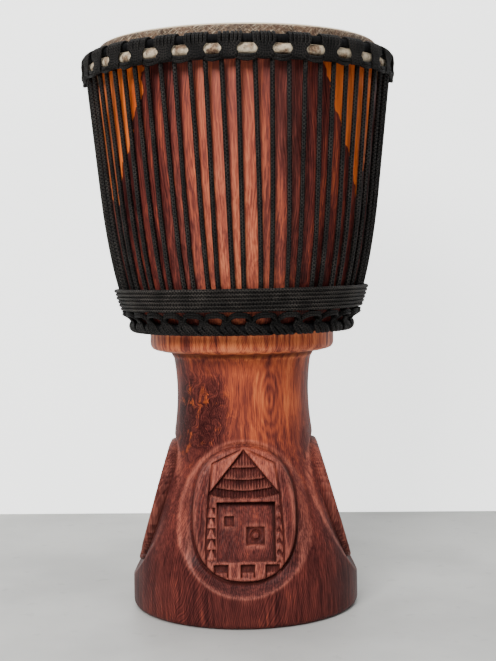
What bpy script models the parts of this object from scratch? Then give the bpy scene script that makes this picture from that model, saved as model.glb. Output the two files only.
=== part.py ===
"""A rope-tuned goblet drum: one hollowed and carved log, a rawhide head, two roped rings and their lacing.

Metres, +Z up. The origin is on the ground, at the middle of the foot. The front carving faces -Y.
"""

import math

import bmesh
import bpy
from mathutils import Matrix, Vector

# Air left between pieces that touch
FIT_GAP = 0.0004

# Heights of the carved shell, from the ground up
FOOT_HEIGHT = 0.190
NECK_HEIGHT = 0.082
COLLAR_HEIGHT = 0.026
BOWL_HEIGHT = 0.3004
COLLAR_CHAMFER = 0.0085
FOOT_EDGE_ROUNDING = 0.006
SHOULDER_DROP = 0.068

# Outer radii of the shell
FOOT_RADIUS = 0.1225
FOOT_WIDEST_HEIGHT = 0.020
NECK_BOTTOM_RADIUS = 0.0745
NECK_WAIST_RADIUS = 0.0713
NECK_TOP_RADIUS = 0.0750
COLLAR_RADIUS = 0.0995
BELLY_RADIUS = 0.1500
RIM_RADIUS = 0.1483

# Curves of the outside: how fast the bowl swells, and how the foot turns from hollow to full
BOWL_SWELL = 0.49
BOWL_FULLNESS = 1.6
FOOT_HOLLOW = 1.6
FOOT_FULLNESS = 2.6

# The hollow inside
THROAT_RADIUS = 0.045
RIM_WALL = 0.0140
BOWL_WALL = 0.0160
FOOT_WALL = 0.0255
BEARING_EDGE_ROUNDING = 0.005
SHELL_SIDES = 24

# Rawhide head
SKIN_THICKNESS = 0.0012
FLESH_ROLL_RADIUS = 0.0052
FLESH_ROLL_REACH = 0.0042
FLESH_ROLL_DROP = 0.0273

# Ropes, and the cloth-wrapped iron rings that they are tied to
ROPE_RADIUS = 0.0025
LOOP_COUNT = 30
FIRST_LOOP = math.radians(3.3)
LACING_TWIST = math.radians(2.0)
LACING_OUTSET = 0.0012
CROWN_RING_OUTSET = 0.0008
RING_RADIUS = 0.0043
HITCH_WIDTH = 0.0112
HITCH_THICKNESS = 0.0032
CROWN_SWAG_HEIGHT = 0.0078
CROWN_SWAG_SAG = 0.0026
BOTTOM_SWAG_HEIGHT = 0.0050
BOTTOM_SWAG_RISE = 0.0045
TOP_LEG_SPREAD_DEG = 3.0
BOTTOM_LEG_SPREAD_DEG = 2.4
BOTTOM_RING_LIFT = 0.0080
BOTTOM_SWAG_LIFT = 0.0145
WRAP_TURNS = 6
WRAP_PITCH = 0.0037
WRAP_LIFT = 0.0276

# Medallions carved on the foot
MEDALLION_COUNT = 4
MEDALLION_HEIGHT = 0.109
FIELD_DISTANCE = 0.0988
FIELD_TILT_DEG = 15.9
FIELD_HALF_WIDTH = 0.0515
FIELD_RISE = 0.0675
FIELD_DROP = 0.0600
FIELD_SQUARENESS = 2.4
FIELD_ROOT = 0.0180
DISH_HEIGHT = 0.1000
DISH_HALF_WIDTH = 0.0688
DISH_RISE = 0.0850
DISH_DROP = 0.0680
DISH_DIP = 0.0022
DISH_RUN_OUT = 0.0120
WALL_AT_SIDE = 0.0095
WALL_AT_TOP = 0.0022
WALL_AT_FOOT = 0.0060
MEDALLION_SIDES = 16

# The hut carved in each medallion, measured on the field from its middle
ROOF_APEX = 0.0690
ROOF_EAVES = 0.0190
ROOF_HALF_WIDTH = 0.0375
ROOF_TIERS = 4
ROOF_DEPTH_HIGH = 0.0036
ROOF_DEPTH_LOW = 0.0014
ROOF_STEP = 0.0008
PANEL_HALF_WIDTH = 0.0302
PANEL_TOP = 0.0155
PANEL_BOTTOM = -0.0440
PANEL_DEPTH = 0.0032
WINDOW_SIZE = 0.0095
WINDOW_SIDE = -0.0165
WINDOW_UP = -0.0035
WINDOW_DEPTH = 0.0016
HATCH_WIDTH = 0.0194
HATCH_HEIGHT = 0.0176
HATCH_SIDE = 0.0105
HATCH_UP = -0.0185
HATCH_DEPTH = 0.0022
HATCH_KNOB_RADIUS = 0.0045
POST_SIDE = 0.0350
POST_WIDTH = 0.0072
POST_NOTCHES = 5
POST_NOTCH_DEPTH = 0.0020
STEP_COUNT = 3
STEP_PITCH = 0.0256
STEP_SIZE = 0.0135
STEP_UP = -0.0525
STEP_DEPTH = 0.0032
GROOVE_WIDTH = 0.0016
GROOVE_DEPTH = 0.0018
GROOVE_LENGTH = 0.0240
GROOVE_SIDE = 0.0372
GROOVE_UP = 0.0370
CUT_PROUD = 0.0040

# Heights that follow from those above
NECK_BOTTOM = FOOT_HEIGHT
NECK_TOP = NECK_BOTTOM + NECK_HEIGHT
BOWL_BOTTOM = NECK_TOP + COLLAR_HEIGHT
RIM_TOP = BOWL_BOTTOM + BOWL_HEIGHT
SHOULDER = RIM_TOP - SHOULDER_DROP
WAIST = (NECK_BOTTOM + NECK_TOP) / 2
HEAD_BOTTOM = RIM_TOP + FIT_GAP
HEAD_TOP = HEAD_BOTTOM + SKIN_THICKNESS
LOOP_ANGLE = 2 * math.pi / LOOP_COUNT

# Levels of the outline, as shares of each stretch's height; the lacing follows the same ones up the bowl
LACED_LEVELS = (1.0, 0.66, 0.32)
BOWL_FOOT_LEVELS = (0.040, 0.008)
NECK_LEVELS = (0.5, 0.0)
FOOT_LEVELS = (0.16, 0.34, 0.54, 0.76)
FLARE_LEVELS = (0.0, 0.5, 1.0)
COLLAR_BEND = (0.2, 0.7)

# Shapes of the details, as shares of the size that they belong to
DISH_MARGIN = 1.08
BLOCK_MARGIN = 1.01
FIELD_BATTER = 1.02
WALL_FADE = 1.5
TIER_TAPER = 0.8
NOTCH_FOOT = 0.25
NOTCH_TOP = 0.95
WRAP_VALLEY = 1.4
KNOT_INWARD = 0.5
KNOT_OUTWARD = 0.6


def new_material(name, colour, roughness, metallic=0.0):
    """A plain material with its colour, roughness and metallic value."""
    material = bpy.data.materials.new(name)
    material.use_nodes = True
    shader = material.node_tree.nodes["Principled BSDF"]
    shader.inputs["Base Color"].default_value = (*colour, 1.0)
    shader.inputs["Roughness"].default_value = roughness
    shader.inputs["Metallic"].default_value = metallic
    return material


def new_object(name, data, collection, material=None):
    """An object in its collection, with its material."""
    obj = bpy.data.objects.new(name, data)
    collection.objects.link(obj)
    if material is not None:
        data.materials.append(material)
    return obj


def mesh_object(name, shape, collection, material=None, place=Matrix()):
    """An object from a finished bmesh, with its faces turned outwards and its points moved into place."""
    bmesh.ops.recalc_face_normals(shape, faces=shape.faces)
    mesh = bpy.data.meshes.new(name)
    shape.to_mesh(mesh)
    shape.free()
    mesh.transform(place)
    return new_object(name, mesh, collection, material)


def add_loft(shape, loops, ring=False):
    """Adds a skin over loops of equally many points to a bmesh, with closed ends or run round as a ring."""
    rows = [[shape.verts.new(point) for point in loop] for loop in loops]
    following = rows[1:] + rows[:1] if ring else rows[1:]
    for first, second in zip(rows, following):
        for i in range(len(first)):
            j = (i + 1) % len(first)
            shape.faces.new((first[i], first[j], second[j], second[i]))
    if not ring:
        shape.faces.new(rows[0])
        shape.faces.new(reversed(rows[-1]))


def hide_helper(obj):
    """A cutter or a guide, which is no part of the drum."""
    obj.hide_render = True
    obj.display_type = "WIRE"
    return obj


def turned(name, profile, sides, collection, material, closed=True):
    """A turned solid: a profile of (radius, height) points, running down its outer side, spun about Z."""
    mesh = bpy.data.meshes.new(name)
    points = [(radius, 0.0, height) for radius, height in profile]
    edges = [(i, i + 1) for i in range(len(points) - 1)]
    if closed:
        edges.append((len(points) - 1, 0))
    mesh.from_pydata(points, edges, [])
    obj = new_object(name, mesh, collection, material)
    screw = obj.modifiers.new("spin", "SCREW")
    screw.steps = sides
    screw.render_steps = sides
    screw.use_merge_vertices = True
    screw.merge_threshold = 0.00005
    return obj


def add_boolean(obj, other, operation):
    """Cuts obj by other, or joins other to it."""
    modifier = obj.modifiers.new(f"{operation.lower()} {other.name}", "BOOLEAN")
    modifier.operation = operation
    modifier.object = other
    modifier.solver = "EXACT"


def arc(centre_radius, centre_height, radius, start_deg, end_deg, steps):
    """(radius, height) points of an arc, with 0 degrees outwards and 90 up."""
    centre = (centre_radius, centre_height)
    step_deg = (end_deg - start_deg) / steps
    return [at_angle(centre, radius, start_deg + step_deg * i) for i in range(steps + 1)]


def at_angle(centre, reach, angle_deg):
    """The (radius, height) at a reach from a centre, with 0 degrees outwards and 90 up."""
    angle = math.radians(angle_deg)
    return centre[0] + reach * math.cos(angle), centre[1] + reach * math.sin(angle)


# Outline of the shell


def foot_radius(height):
    """Outside of the foot between its widest height and the neck."""
    share = (NECK_BOTTOM - height) / (NECK_BOTTOM - FOOT_WIDEST_HEIGHT)
    share = min(1.0, max(0.0, share))
    fullness = 1 - (1 - share**FOOT_HOLLOW) ** FOOT_FULLNESS
    return NECK_BOTTOM_RADIUS + (FOOT_RADIUS - NECK_BOTTOM_RADIUS) * fullness


def neck_radius(height):
    """Outside of the neck, which narrows to its waist."""
    end = NECK_TOP_RADIUS if height > WAIST else NECK_BOTTOM_RADIUS
    share = abs(height - WAIST) / (NECK_HEIGHT / 2)
    return NECK_WAIST_RADIUS + (end - NECK_WAIST_RADIUS) * share**2


def bowl_radius(height):
    """Outside of the bowl, which swells to the shoulder and draws in a little to the rim."""
    if height <= SHOULDER:
        share = max(0.0, (height - BOWL_BOTTOM) / (SHOULDER - BOWL_BOTTOM))
        swell = (1 - (1 - share) ** BOWL_FULLNESS) ** BOWL_SWELL
        return COLLAR_RADIUS + (BELLY_RADIUS - COLLAR_RADIUS) * swell
    share = (height - SHOULDER) / (RIM_TOP - SHOULDER)
    return RIM_RADIUS + (BELLY_RADIUS - RIM_RADIUS) * (0.5 + 0.5 * math.cos(math.pi * share))


def off_the_bowl(lift, distance):
    """(radius, height) at a distance straight out from the bowl's side, at a lift above its foot."""
    height = BOWL_BOTTOM + lift
    step = 0.0005
    slope = (bowl_radius(height + step) - bowl_radius(height - step)) / (2 * step)
    length = math.hypot(1, slope)
    return bowl_radius(height) + distance / length, height - distance * slope / length


def side_radius(height):
    """Outside of the straight side that the bowl has between its shoulder and its rim."""
    share = (height - SHOULDER) / (RIM_TOP - BEARING_EDGE_ROUNDING - SHOULDER)
    return BELLY_RADIUS + (RIM_RADIUS - BELLY_RADIUS) * min(1.0, max(0.0, share))


# What the head's roll and the rings take from the bowl
ROLL_HEIGHT = HEAD_TOP - FLESH_ROLL_DROP
SKIN_AT_ROLL = max(side_radius(ROLL_HEIGHT), side_radius(ROLL_HEIGHT - FLESH_ROLL_RADIUS)) + FIT_GAP
ROLL_CENTRE = SKIN_AT_ROLL + FLESH_ROLL_REACH + FLESH_ROLL_RADIUS
CROWN_RING = (ROLL_CENTRE + CROWN_RING_OUTSET, ROLL_HEIGHT + FLESH_ROLL_RADIUS + FIT_GAP + RING_RADIUS)
BOTTOM_RING = off_the_bowl(BOTTOM_RING_LIFT, RING_RADIUS + FIT_GAP)

# Where the lacing turns, at the top under the roll and at the bottom over each swag
LACING_TURN = (ROLL_CENTRE + LACING_OUTSET, ROLL_HEIGHT - FLESH_ROLL_RADIUS - FIT_GAP - ROPE_RADIUS)
SWAG_CREST_LIFT = BOTTOM_SWAG_LIFT + BOTTOM_SWAG_RISE
BOTTOM_TURN_LIFT = SWAG_CREST_LIFT + BOTTOM_SWAG_HEIGHT / 2 + FIT_GAP + ROPE_RADIUS


def bowl_height(share):
    """Height on the bowl at a share of the way from its foot to its shoulder."""
    return BOWL_BOTTOM + share * (SHOULDER - BOWL_BOTTOM)


def shell_profile():
    """The shell's closed outline: down the outside from the rim, and up the inside from the foot."""
    edge = BEARING_EDGE_ROUNDING
    outside = [(RIM_RADIUS - edge, RIM_TOP), (RIM_RADIUS, RIM_TOP - edge)]
    levels = [bowl_height(share) for share in LACED_LEVELS]
    levels.append(BOWL_BOTTOM + BOTTOM_TURN_LIFT)
    levels += [bowl_height(share) for share in BOWL_FOOT_LEVELS]
    outside += [(bowl_radius(height), height) for height in levels]
    outside += [
        (COLLAR_RADIUS, BOWL_BOTTOM),
        (COLLAR_RADIUS, NECK_TOP + COLLAR_CHAMFER),
        (COLLAR_RADIUS - COLLAR_BEND[0] * COLLAR_CHAMFER, NECK_TOP + COLLAR_BEND[1] * COLLAR_CHAMFER),
        (NECK_TOP_RADIUS, NECK_TOP),
    ]
    for share in NECK_LEVELS:
        height = NECK_BOTTOM + share * NECK_HEIGHT
        outside.append((neck_radius(height), height))
    for share in FOOT_LEVELS:
        height = NECK_BOTTOM - share * (NECK_BOTTOM - FOOT_WIDEST_HEIGHT)
        outside.append((foot_radius(height), height))
    outside += [
        (FOOT_RADIUS, FOOT_WIDEST_HEIGHT),
        (FOOT_RADIUS, FOOT_EDGE_ROUNDING),
        (FOOT_RADIUS - FOOT_EDGE_ROUNDING, 0.0),
    ]
    inside = []
    for share in FLARE_LEVELS:
        flare = (FOOT_RADIUS - FOOT_WALL - THROAT_RADIUS) * math.cos(share * math.pi / 2)
        inside.append((THROAT_RADIUS + flare, share * NECK_BOTTOM))
    inside.append((THROAT_RADIUS, NECK_TOP))
    for share in (BOWL_FOOT_LEVELS[0], LACED_LEVELS[2], LACED_LEVELS[0]):
        height = bowl_height(share)
        inside.append((bowl_radius(height) - BOWL_WALL, height))
    inside.append((RIM_RADIUS - RIM_WALL, RIM_TOP))
    return outside + inside


# Carved medallions


def field_depth(height):
    """How far the flat field lies from the drum's axis at a height."""
    return FIELD_DISTANCE + (MEDALLION_HEIGHT - height) * math.tan(math.radians(FIELD_TILT_DEG))


def around(azimuth):
    """Turns a shape made for the front of the drum to its own side."""
    return Matrix.Rotation(azimuth, 4, "Z")


def field_frame():
    """Frame of the front field: X to the right, Y up along it, Z straight out of it."""
    tilt = math.radians(FIELD_TILT_DEG)
    right = Vector((1, 0, 0))
    up = Vector((0, math.sin(tilt), math.cos(tilt)))
    out = Vector((0, -math.cos(tilt), math.sin(tilt)))
    frame = Matrix((right, up, out)).transposed().to_4x4()
    frame.translation = (0, -FIELD_DISTANCE, MEDALLION_HEIGHT)
    return frame


def oval_point(size, angle, squareness, grow):
    """(sideways, height) on an oval of (middle height, half width, rise, drop), fuller if squarer."""
    middle, half_width, rise, drop = size
    across = math.copysign(abs(math.cos(angle)) ** (2 / squareness), math.cos(angle))
    upright = math.copysign(abs(math.sin(angle)) ** (2 / squareness), math.sin(angle))
    half_height = rise if upright > 0 else drop
    return grow * half_width * across, middle + grow * half_height * upright


def dish_point(angle, grow=1.0):
    """(sideways, height) on the edge of the dish."""
    return oval_point((DISH_HEIGHT, DISH_HALF_WIDTH, DISH_RISE, DISH_DROP), angle, 2.0, grow)


def field_point(angle, grow=1.0):
    """(sideways, height) on the edge of the field."""
    size = (MEDALLION_HEIGHT, FIELD_HALF_WIDTH, FIELD_RISE, FIELD_DROP)
    return oval_point(size, angle, FIELD_SQUARENESS, grow)


def wall_height(angle):
    """How far the field stands out of the dish around it, which is less at its top and its foot."""
    upright = math.sin(angle)
    end = WALL_AT_TOP if upright > 0 else WALL_AT_FOOT
    return WALL_AT_SIDE + (end - WALL_AT_SIDE) * abs(upright) ** WALL_FADE


def medallion_angles():
    """The angles of the points round a medallion."""
    return [2 * math.pi * i / MEDALLION_SIDES for i in range(MEDALLION_SIDES)]


def dish_rings():
    """Rings of (sideways, height, distance from the axis) from outside the dish to the field's edge."""
    rings = [[] for _ in range(6)]
    for angle in medallion_angles():
        side, height = dish_point(angle)
        edge = math.sqrt(foot_radius(height) ** 2 - side**2)
        field_side, field_height = field_point(angle)
        field = field_depth(field_height)
        base = field - wall_height(angle)
        middle = ((side + field_side) / 2, (height + field_height) / 2)
        rings[0].append((*dish_point(angle, DISH_MARGIN), BELLY_RADIUS))
        rings[1].append((*dish_point(angle, DISH_MARGIN), edge + DISH_RUN_OUT))
        rings[2].append((side, height, edge))
        rings[3].append((*middle, (edge + base) / 2 - DISH_DIP))
        rings[4].append((*field_point(angle, FIELD_BATTER), base))
        rings[5].append((field_side, field_height, field))
    return rings


def dish_cutter(name, azimuth, collection):
    """What is carved away around and over a medallion's field."""
    shape = bmesh.new()
    add_loft(shape, [[(side, -depth, height) for side, height, depth in ring] for ring in dish_rings()])
    return hide_helper(mesh_object(name, shape, collection, place=around(azimuth)))


def field_block(name, azimuth, collection):
    """Wood left standing proud of the foot, for a medallion's field."""
    shape = bmesh.new()
    outline = [field_point(angle, BLOCK_MARGIN) for angle in medallion_angles()]
    near = [(side, -field_depth(height) - CUT_PROUD, height) for side, height in outline]
    far = [(side, -field_depth(height) + FIELD_ROOT, height) for side, height in outline]
    add_loft(shape, [near, far])
    return hide_helper(mesh_object(name, shape, collection, place=around(azimuth)))


def add_prism(shape, outline, depth):
    """Adds a closed prism to a bmesh: an outline on the field, sunk to a depth."""
    add_loft(shape, [[(x, y, CUT_PROUD) for x, y in outline], [(x, y, -depth) for x, y in outline]])


def add_box(shape, middle_x, middle_y, width, height, depth):
    """Adds a rectangular pocket of one depth to a bmesh."""
    corners = [(-0.5, -0.5), (0.5, -0.5), (0.5, 0.5), (-0.5, 0.5)]
    outline = [(middle_x + x * width, middle_y + y * height) for x, y in corners]
    add_prism(shape, outline, depth)


def add_roof(shape):
    """The pocket of the thatched roof: tiers that each slope out to their lower edge, as on a saw."""
    height = ROOF_APEX - ROOF_EAVES
    levels = [ROOF_APEX - height * (i / ROOF_TIERS) ** TIER_TAPER for i in range(ROOF_TIERS + 1)]
    rows = []
    for upper, lower in zip(levels, levels[1:]):
        rows += [(upper, ROOF_DEPTH_HIGH), (lower + ROOF_STEP, ROOF_DEPTH_LOW)]
    loops = []
    for y, depth in rows:
        side = ROOF_HALF_WIDTH * (ROOF_APEX + ROOF_STEP - y) / height
        loops.append([(-side, y, CUT_PROUD), (-side, y, -depth), (side, y, -depth), (side, y, CUT_PROUD)])
    add_loft(shape, loops)


def add_post_notches(shape):
    """Small downward triangles cut in both posts, which leave a stack of upright ones."""
    pitch = (PANEL_TOP - PANEL_BOTTOM) / POST_NOTCHES
    for side in (-1, 1):
        for i in range(POST_NOTCHES):
            foot = PANEL_BOTTOM + i * pitch
            middle = side * POST_SIDE
            outline = [
                (middle, foot + NOTCH_FOOT * pitch),
                (middle + POST_WIDTH / 2, foot + NOTCH_TOP * pitch),
                (middle - POST_WIDTH / 2, foot + NOTCH_TOP * pitch),
            ]
            add_prism(shape, outline, POST_NOTCH_DEPTH)


def hut_cutter(name, azimuth, collection, full):
    """Pockets of the carved hut. The front one is carved in full, and the others are plainer."""
    shape = bmesh.new()
    add_roof(shape)
    panel_height = PANEL_TOP - PANEL_BOTTOM
    add_box(shape, 0.0, PANEL_BOTTOM + panel_height / 2, 2 * PANEL_HALF_WIDTH, panel_height, PANEL_DEPTH)
    for i in range(STEP_COUNT):
        side = (i - (STEP_COUNT - 1) / 2) * STEP_PITCH
        add_box(shape, side, STEP_UP, STEP_SIZE, STEP_SIZE, STEP_DEPTH)
    if full:
        add_post_notches(shape)
        for side in (-1, 1):
            add_box(shape, side * GROOVE_SIDE, GROOVE_UP, GROOVE_WIDTH, GROOVE_LENGTH, GROOVE_DEPTH)
    return hide_helper(mesh_object(name, shape, collection, place=around(azimuth) @ field_frame()))


def opening_cutter(name, azimuth, collection):
    """The small window and the larger hatch, sunk in the hut's wall."""
    shape = bmesh.new()
    add_box(shape, WINDOW_SIDE, WINDOW_UP, WINDOW_SIZE, WINDOW_SIZE, PANEL_DEPTH + WINDOW_DEPTH)
    add_box(shape, HATCH_SIDE, HATCH_UP, HATCH_WIDTH, HATCH_HEIGHT, PANEL_DEPTH + HATCH_DEPTH)
    return hide_helper(mesh_object(name, shape, collection, place=around(azimuth) @ field_frame()))


def hatch_knob(name, azimuth, collection):
    """The round boss left in the hatch."""
    shape = bmesh.new()
    bmesh.ops.create_cone(
        shape,
        cap_ends=True,
        segments=6,
        radius1=HATCH_KNOB_RADIUS,
        radius2=0.5 * HATCH_KNOB_RADIUS,
        depth=2 * HATCH_DEPTH,
    )
    middle = Matrix.Translation((HATCH_SIDE, HATCH_UP, -PANEL_DEPTH - HATCH_DEPTH))
    return hide_helper(mesh_object(name, shape, collection, place=around(azimuth) @ field_frame() @ middle))


def make_shell(parts, cutters, wood):
    """The drum's body: one log, turned outside and in, with its medallions carved."""
    shell = turned("shell", shell_profile(), SHELL_SIDES, parts, wood)
    for i in range(MEDALLION_COUNT):
        azimuth = i * 2 * math.pi / MEDALLION_COUNT
        front = i == 0
        add_boolean(shell, field_block(f"field_block_{i}", azimuth, cutters), "UNION")
        add_boolean(shell, dish_cutter(f"dish_cutter_{i}", azimuth, cutters), "DIFFERENCE")
        add_boolean(shell, hut_cutter(f"hut_cutter_{i}", azimuth, cutters, front), "DIFFERENCE")
        if front:
            add_boolean(shell, opening_cutter(f"opening_cutter_{i}", azimuth, cutters), "DIFFERENCE")
            add_boolean(shell, hatch_knob(f"hatch_knob_{i}", azimuth, cutters), "UNION")
    return shell


# Head and rings


def make_head(parts, rawhide):
    """The rawhide: a flat skin drawn over the rim and down, and rolled round its flesh hoop."""
    edge = BEARING_EDGE_ROUNDING
    rounding = edge + SKIN_THICKNESS
    inner = RIM_RADIUS + FIT_GAP
    profile = [(0.0, HEAD_TOP)]
    profile += arc(inner + SKIN_THICKNESS - rounding, HEAD_TOP - rounding, rounding, 90, 0, 2)
    profile.append((SKIN_AT_ROLL + SKIN_THICKNESS, ROLL_HEIGHT + FLESH_ROLL_RADIUS))
    profile += arc(ROLL_CENTRE, ROLL_HEIGHT, FLESH_ROLL_RADIUS, 126, -162, 4)
    profile.append((SKIN_AT_ROLL, ROLL_HEIGHT))
    profile.append((inner, RIM_TOP - edge))
    profile.append((inner - edge, HEAD_BOTTOM))
    profile.append((0.0, HEAD_BOTTOM))
    return turned("drumhead", profile, SHELL_SIDES, parts, rawhide, closed=False)


def make_ring(name, place, first_deg, parts, material):
    """A cloth-wrapped iron ring: five-sided about a (radius, height), with a corner at an angle."""
    section = arc(*place, RING_RADIUS, first_deg, first_deg - 288, 4)
    return turned(name, section, SHELL_SIDES, parts, material)


# Ropes


def on_ring(angle, place):
    """The point at an angle round the drum, counted from its front towards +X, at a (radius, height)."""
    radius, height = place
    return Vector((radius * math.sin(angle), -radius * math.cos(angle), height))


def rope_curve(name, points, parts, material):
    """A closed loop of rope through its points."""
    curve = bpy.data.curves.new(name, "CURVE")
    curve.dimensions = "3D"
    curve.twist_mode = "Z_UP"
    curve.bevel_depth = ROPE_RADIUS
    curve.bevel_resolution = 0
    spline = curve.splines.new("POLY")
    spline.points.add(len(points) - 1)
    for point, place in zip(spline.points, points):
        point.co = (*place, 1.0)
    spline.use_cyclic_u = True
    return new_object(name, curve, parts, material)


def pulled_taut(places):
    """Those of a row of (radius, height) places, from the top down, that a taut rope round them touches."""
    touched = []
    for place in places:
        while len(touched) > 1:
            above, last = touched[-2:]
            share = (above[1] - last[1]) / (above[1] - place[1])
            if last[0] > above[0] + share * (place[0] - above[0]):
                break
            touched.pop()
        touched.append(place)
    return touched


def leg_places():
    """(radius, height) points down a leg of the lacing, from its turn at the crown to that at its foot."""
    clear = ROPE_RADIUS + FIT_GAP
    lifts = [share * (SHOULDER - BOWL_BOTTOM) for share in LACED_LEVELS] + [BOTTOM_TURN_LIFT]
    return pulled_taut([LACING_TURN] + [off_the_bowl(lift, clear) for lift in lifts])


def make_lacing(parts, rope):
    """The one long rope that draws the rings together: down a leg, round a swag, up the next and over."""
    points = []
    top_spread = math.radians(TOP_LEG_SPREAD_DEG)
    bottom_spread = math.radians(BOTTOM_LEG_SPREAD_DEG)
    places = leg_places()
    for loop in range(LOOP_COUNT):
        top_middle = FIRST_LOOP + loop * LOOP_ANGLE
        bottom_middle = top_middle + LOOP_ANGLE / 2 + LACING_TWIST
        for side in (-1, 1):
            top = top_middle + LOOP_ANGLE / 2 + side * (LOOP_ANGLE / 2 - top_spread)
            bottom = bottom_middle + side * bottom_spread
            leg = []
            for place in places:
                share = (places[0][1] - place[1]) / (places[0][1] - places[-1][1])
                leg.append(on_ring(top + (bottom - top) * share, place))
            points += leg if side < 0 else reversed(leg)
    return rope_curve("lacing", points, parts, rope)


def make_wrap(parts, rope):
    """The rope's spare length, wound in close turns round the lacing."""
    under = 2 * (ROPE_RADIUS + FIT_GAP)
    profile = [off_the_bowl(WRAP_LIFT - ROPE_RADIUS, under)]
    for turn in range(WRAP_TURNS):
        middle = WRAP_LIFT + turn * WRAP_PITCH
        if turn > 0:
            profile.append(off_the_bowl(middle - WRAP_PITCH / 2, under + WRAP_VALLEY * ROPE_RADIUS))
        profile.append(off_the_bowl(middle, under + 2 * ROPE_RADIUS))
    profile.append(off_the_bowl(middle + ROPE_RADIUS, under))
    profile.reverse()
    clear = 1 / math.cos(math.pi / SHELL_SIDES)
    profile = [(radius * clear, height) for radius, height in profile]
    return turned("waist_wrap", profile, SHELL_SIDES, parts, rope)


def swag_loops(phase, knot, crest, height):
    """Sections of two strands, one above the other, at each knot and halfway to the next."""
    loops = []
    for step in range(2 * LOOP_COUNT):
        radius, middle = knot if step % 2 == 0 else crest
        angle = phase + (step - 1) * LOOP_ANGLE / 2
        corners = [(-1, -1), (1, -1), (1, 1), (-1, 1)]
        section = [(radius + x * ROPE_RADIUS, middle + y * height / 2) for x, y in corners]
        loops.append([on_ring(angle, corner) for corner in section])
    return loops


def add_hitch(shape, spans, azimuth):
    """Adds one hitch to a bmesh: a flat bundle of strands through spans of (inner, outer) places."""
    turn = Matrix.Rotation(azimuth, 3, "Z")
    loops = []
    for inner, outer in spans:
        corners = [(inner, -1), (outer, -1), (outer, 1), (inner, 1)]
        loop = [Vector((side * HITCH_WIDTH / 2, -radius, height)) for (radius, height), side in corners]
        loops.append([turn @ point for point in loop])
    add_loft(shape, loops)


def make_hitches(name, phase, ring, angles, swag, height, parts, cutters, rope):
    """The cord tied round a ring: a broad hitch at each knot, and a swag of two strands between knots."""
    knot, crest = swag
    strand = bmesh.new()
    add_loft(strand, swag_loops(phase, knot, crest, height), ring=True)
    cord = mesh_object(name, strand, parts, rope)
    near = RING_RADIUS + FIT_GAP
    far = near + HITCH_THICKNESS
    spans = [(at_angle(ring, near, angle), at_angle(ring, far, angle)) for angle in angles]
    inner = knot[0] - KNOT_INWARD * ROPE_RADIUS
    if knot[0] > ring[0] + RING_RADIUS:
        inner = max(inner, spans[-1][0][0])
    spans.append(((inner, knot[1]), (knot[0] + KNOT_OUTWARD * ROPE_RADIUS, knot[1])))
    knots = bmesh.new()
    for loop in range(LOOP_COUNT):
        add_hitch(knots, spans, phase + (loop - 0.5) * LOOP_ANGLE)
    add_boolean(cord, hide_helper(mesh_object(f"{name}_knots", knots, cutters)), "UNION")
    return cord


def make_crown_hitches(parts, cutters, rope):
    """The cord on the crown ring, whose swags dip below the roll."""
    height = CROWN_SWAG_HEIGHT
    radius = LACING_TURN[0] + 2 * ROPE_RADIUS + FIT_GAP
    middle = ROLL_HEIGHT - FLESH_ROLL_RADIUS - FIT_GAP - height / 2
    swag = ((radius, middle + CROWN_SWAG_SAG / 2), (radius, middle - CROWN_SWAG_SAG / 2))
    make_hitches("crown_hitches", FIRST_LOOP, CROWN_RING, (90, 18), swag, height, parts, cutters, rope)


def make_bottom_hitches(parts, cutters, rope):
    """The cord on the bottom ring, whose swags arch up under the lacing's turns."""
    height = BOTTOM_SWAG_HEIGHT
    reach = math.hypot(ROPE_RADIUS, height / 2) + FIT_GAP
    swag = (off_the_bowl(BOTTOM_SWAG_LIFT, reach), off_the_bowl(SWAG_CREST_LIFT, reach))
    phase = FIRST_LOOP + LOOP_ANGLE / 2 + LACING_TWIST
    make_hitches("bottom_hitches", phase, BOTTOM_RING, (-90, -18), swag, height, parts, cutters, rope)


def main():
    """Clears the scene and builds the drum."""
    for obj in list(bpy.data.objects):
        bpy.data.objects.remove(obj, do_unlink=True)
    parts = bpy.data.collections.new("goblet_drum")
    cutters = bpy.data.collections.new("cutters")
    bpy.context.scene.collection.children.link(parts)
    bpy.context.scene.collection.children.link(cutters)

    wood = new_material("red_hardwood", (0.30, 0.085, 0.040), 0.38)
    rawhide = new_material("rawhide", (0.62, 0.50, 0.38), 0.70)
    cloth = new_material("black_cloth", (0.012, 0.012, 0.013), 0.85)
    rope = new_material("black_rope", (0.016, 0.016, 0.017), 0.62)

    make_shell(parts, cutters, wood)
    make_head(parts, rawhide)
    make_ring("crown_ring", CROWN_RING, 90, parts, cloth)
    make_crown_hitches(parts, cutters, rope)
    make_lacing(parts, rope)
    make_wrap(parts, rope)
    make_ring("bottom_ring", BOTTOM_RING, -90, parts, cloth)
    make_bottom_hitches(parts, cutters, rope)


main()
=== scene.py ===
"""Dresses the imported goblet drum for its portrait.

The log is carved again in fine detail, and the head, the wound rings, the knotted cords and the lacing are made
as they look close by. Metres, +Z up, with the front facing -Y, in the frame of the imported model.
"""

import logging
import math
from collections.abc import Callable
from dataclasses import dataclass, field
from enum import Enum

import bpy
import numpy as np
from mathutils import Matrix, Vector


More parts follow.
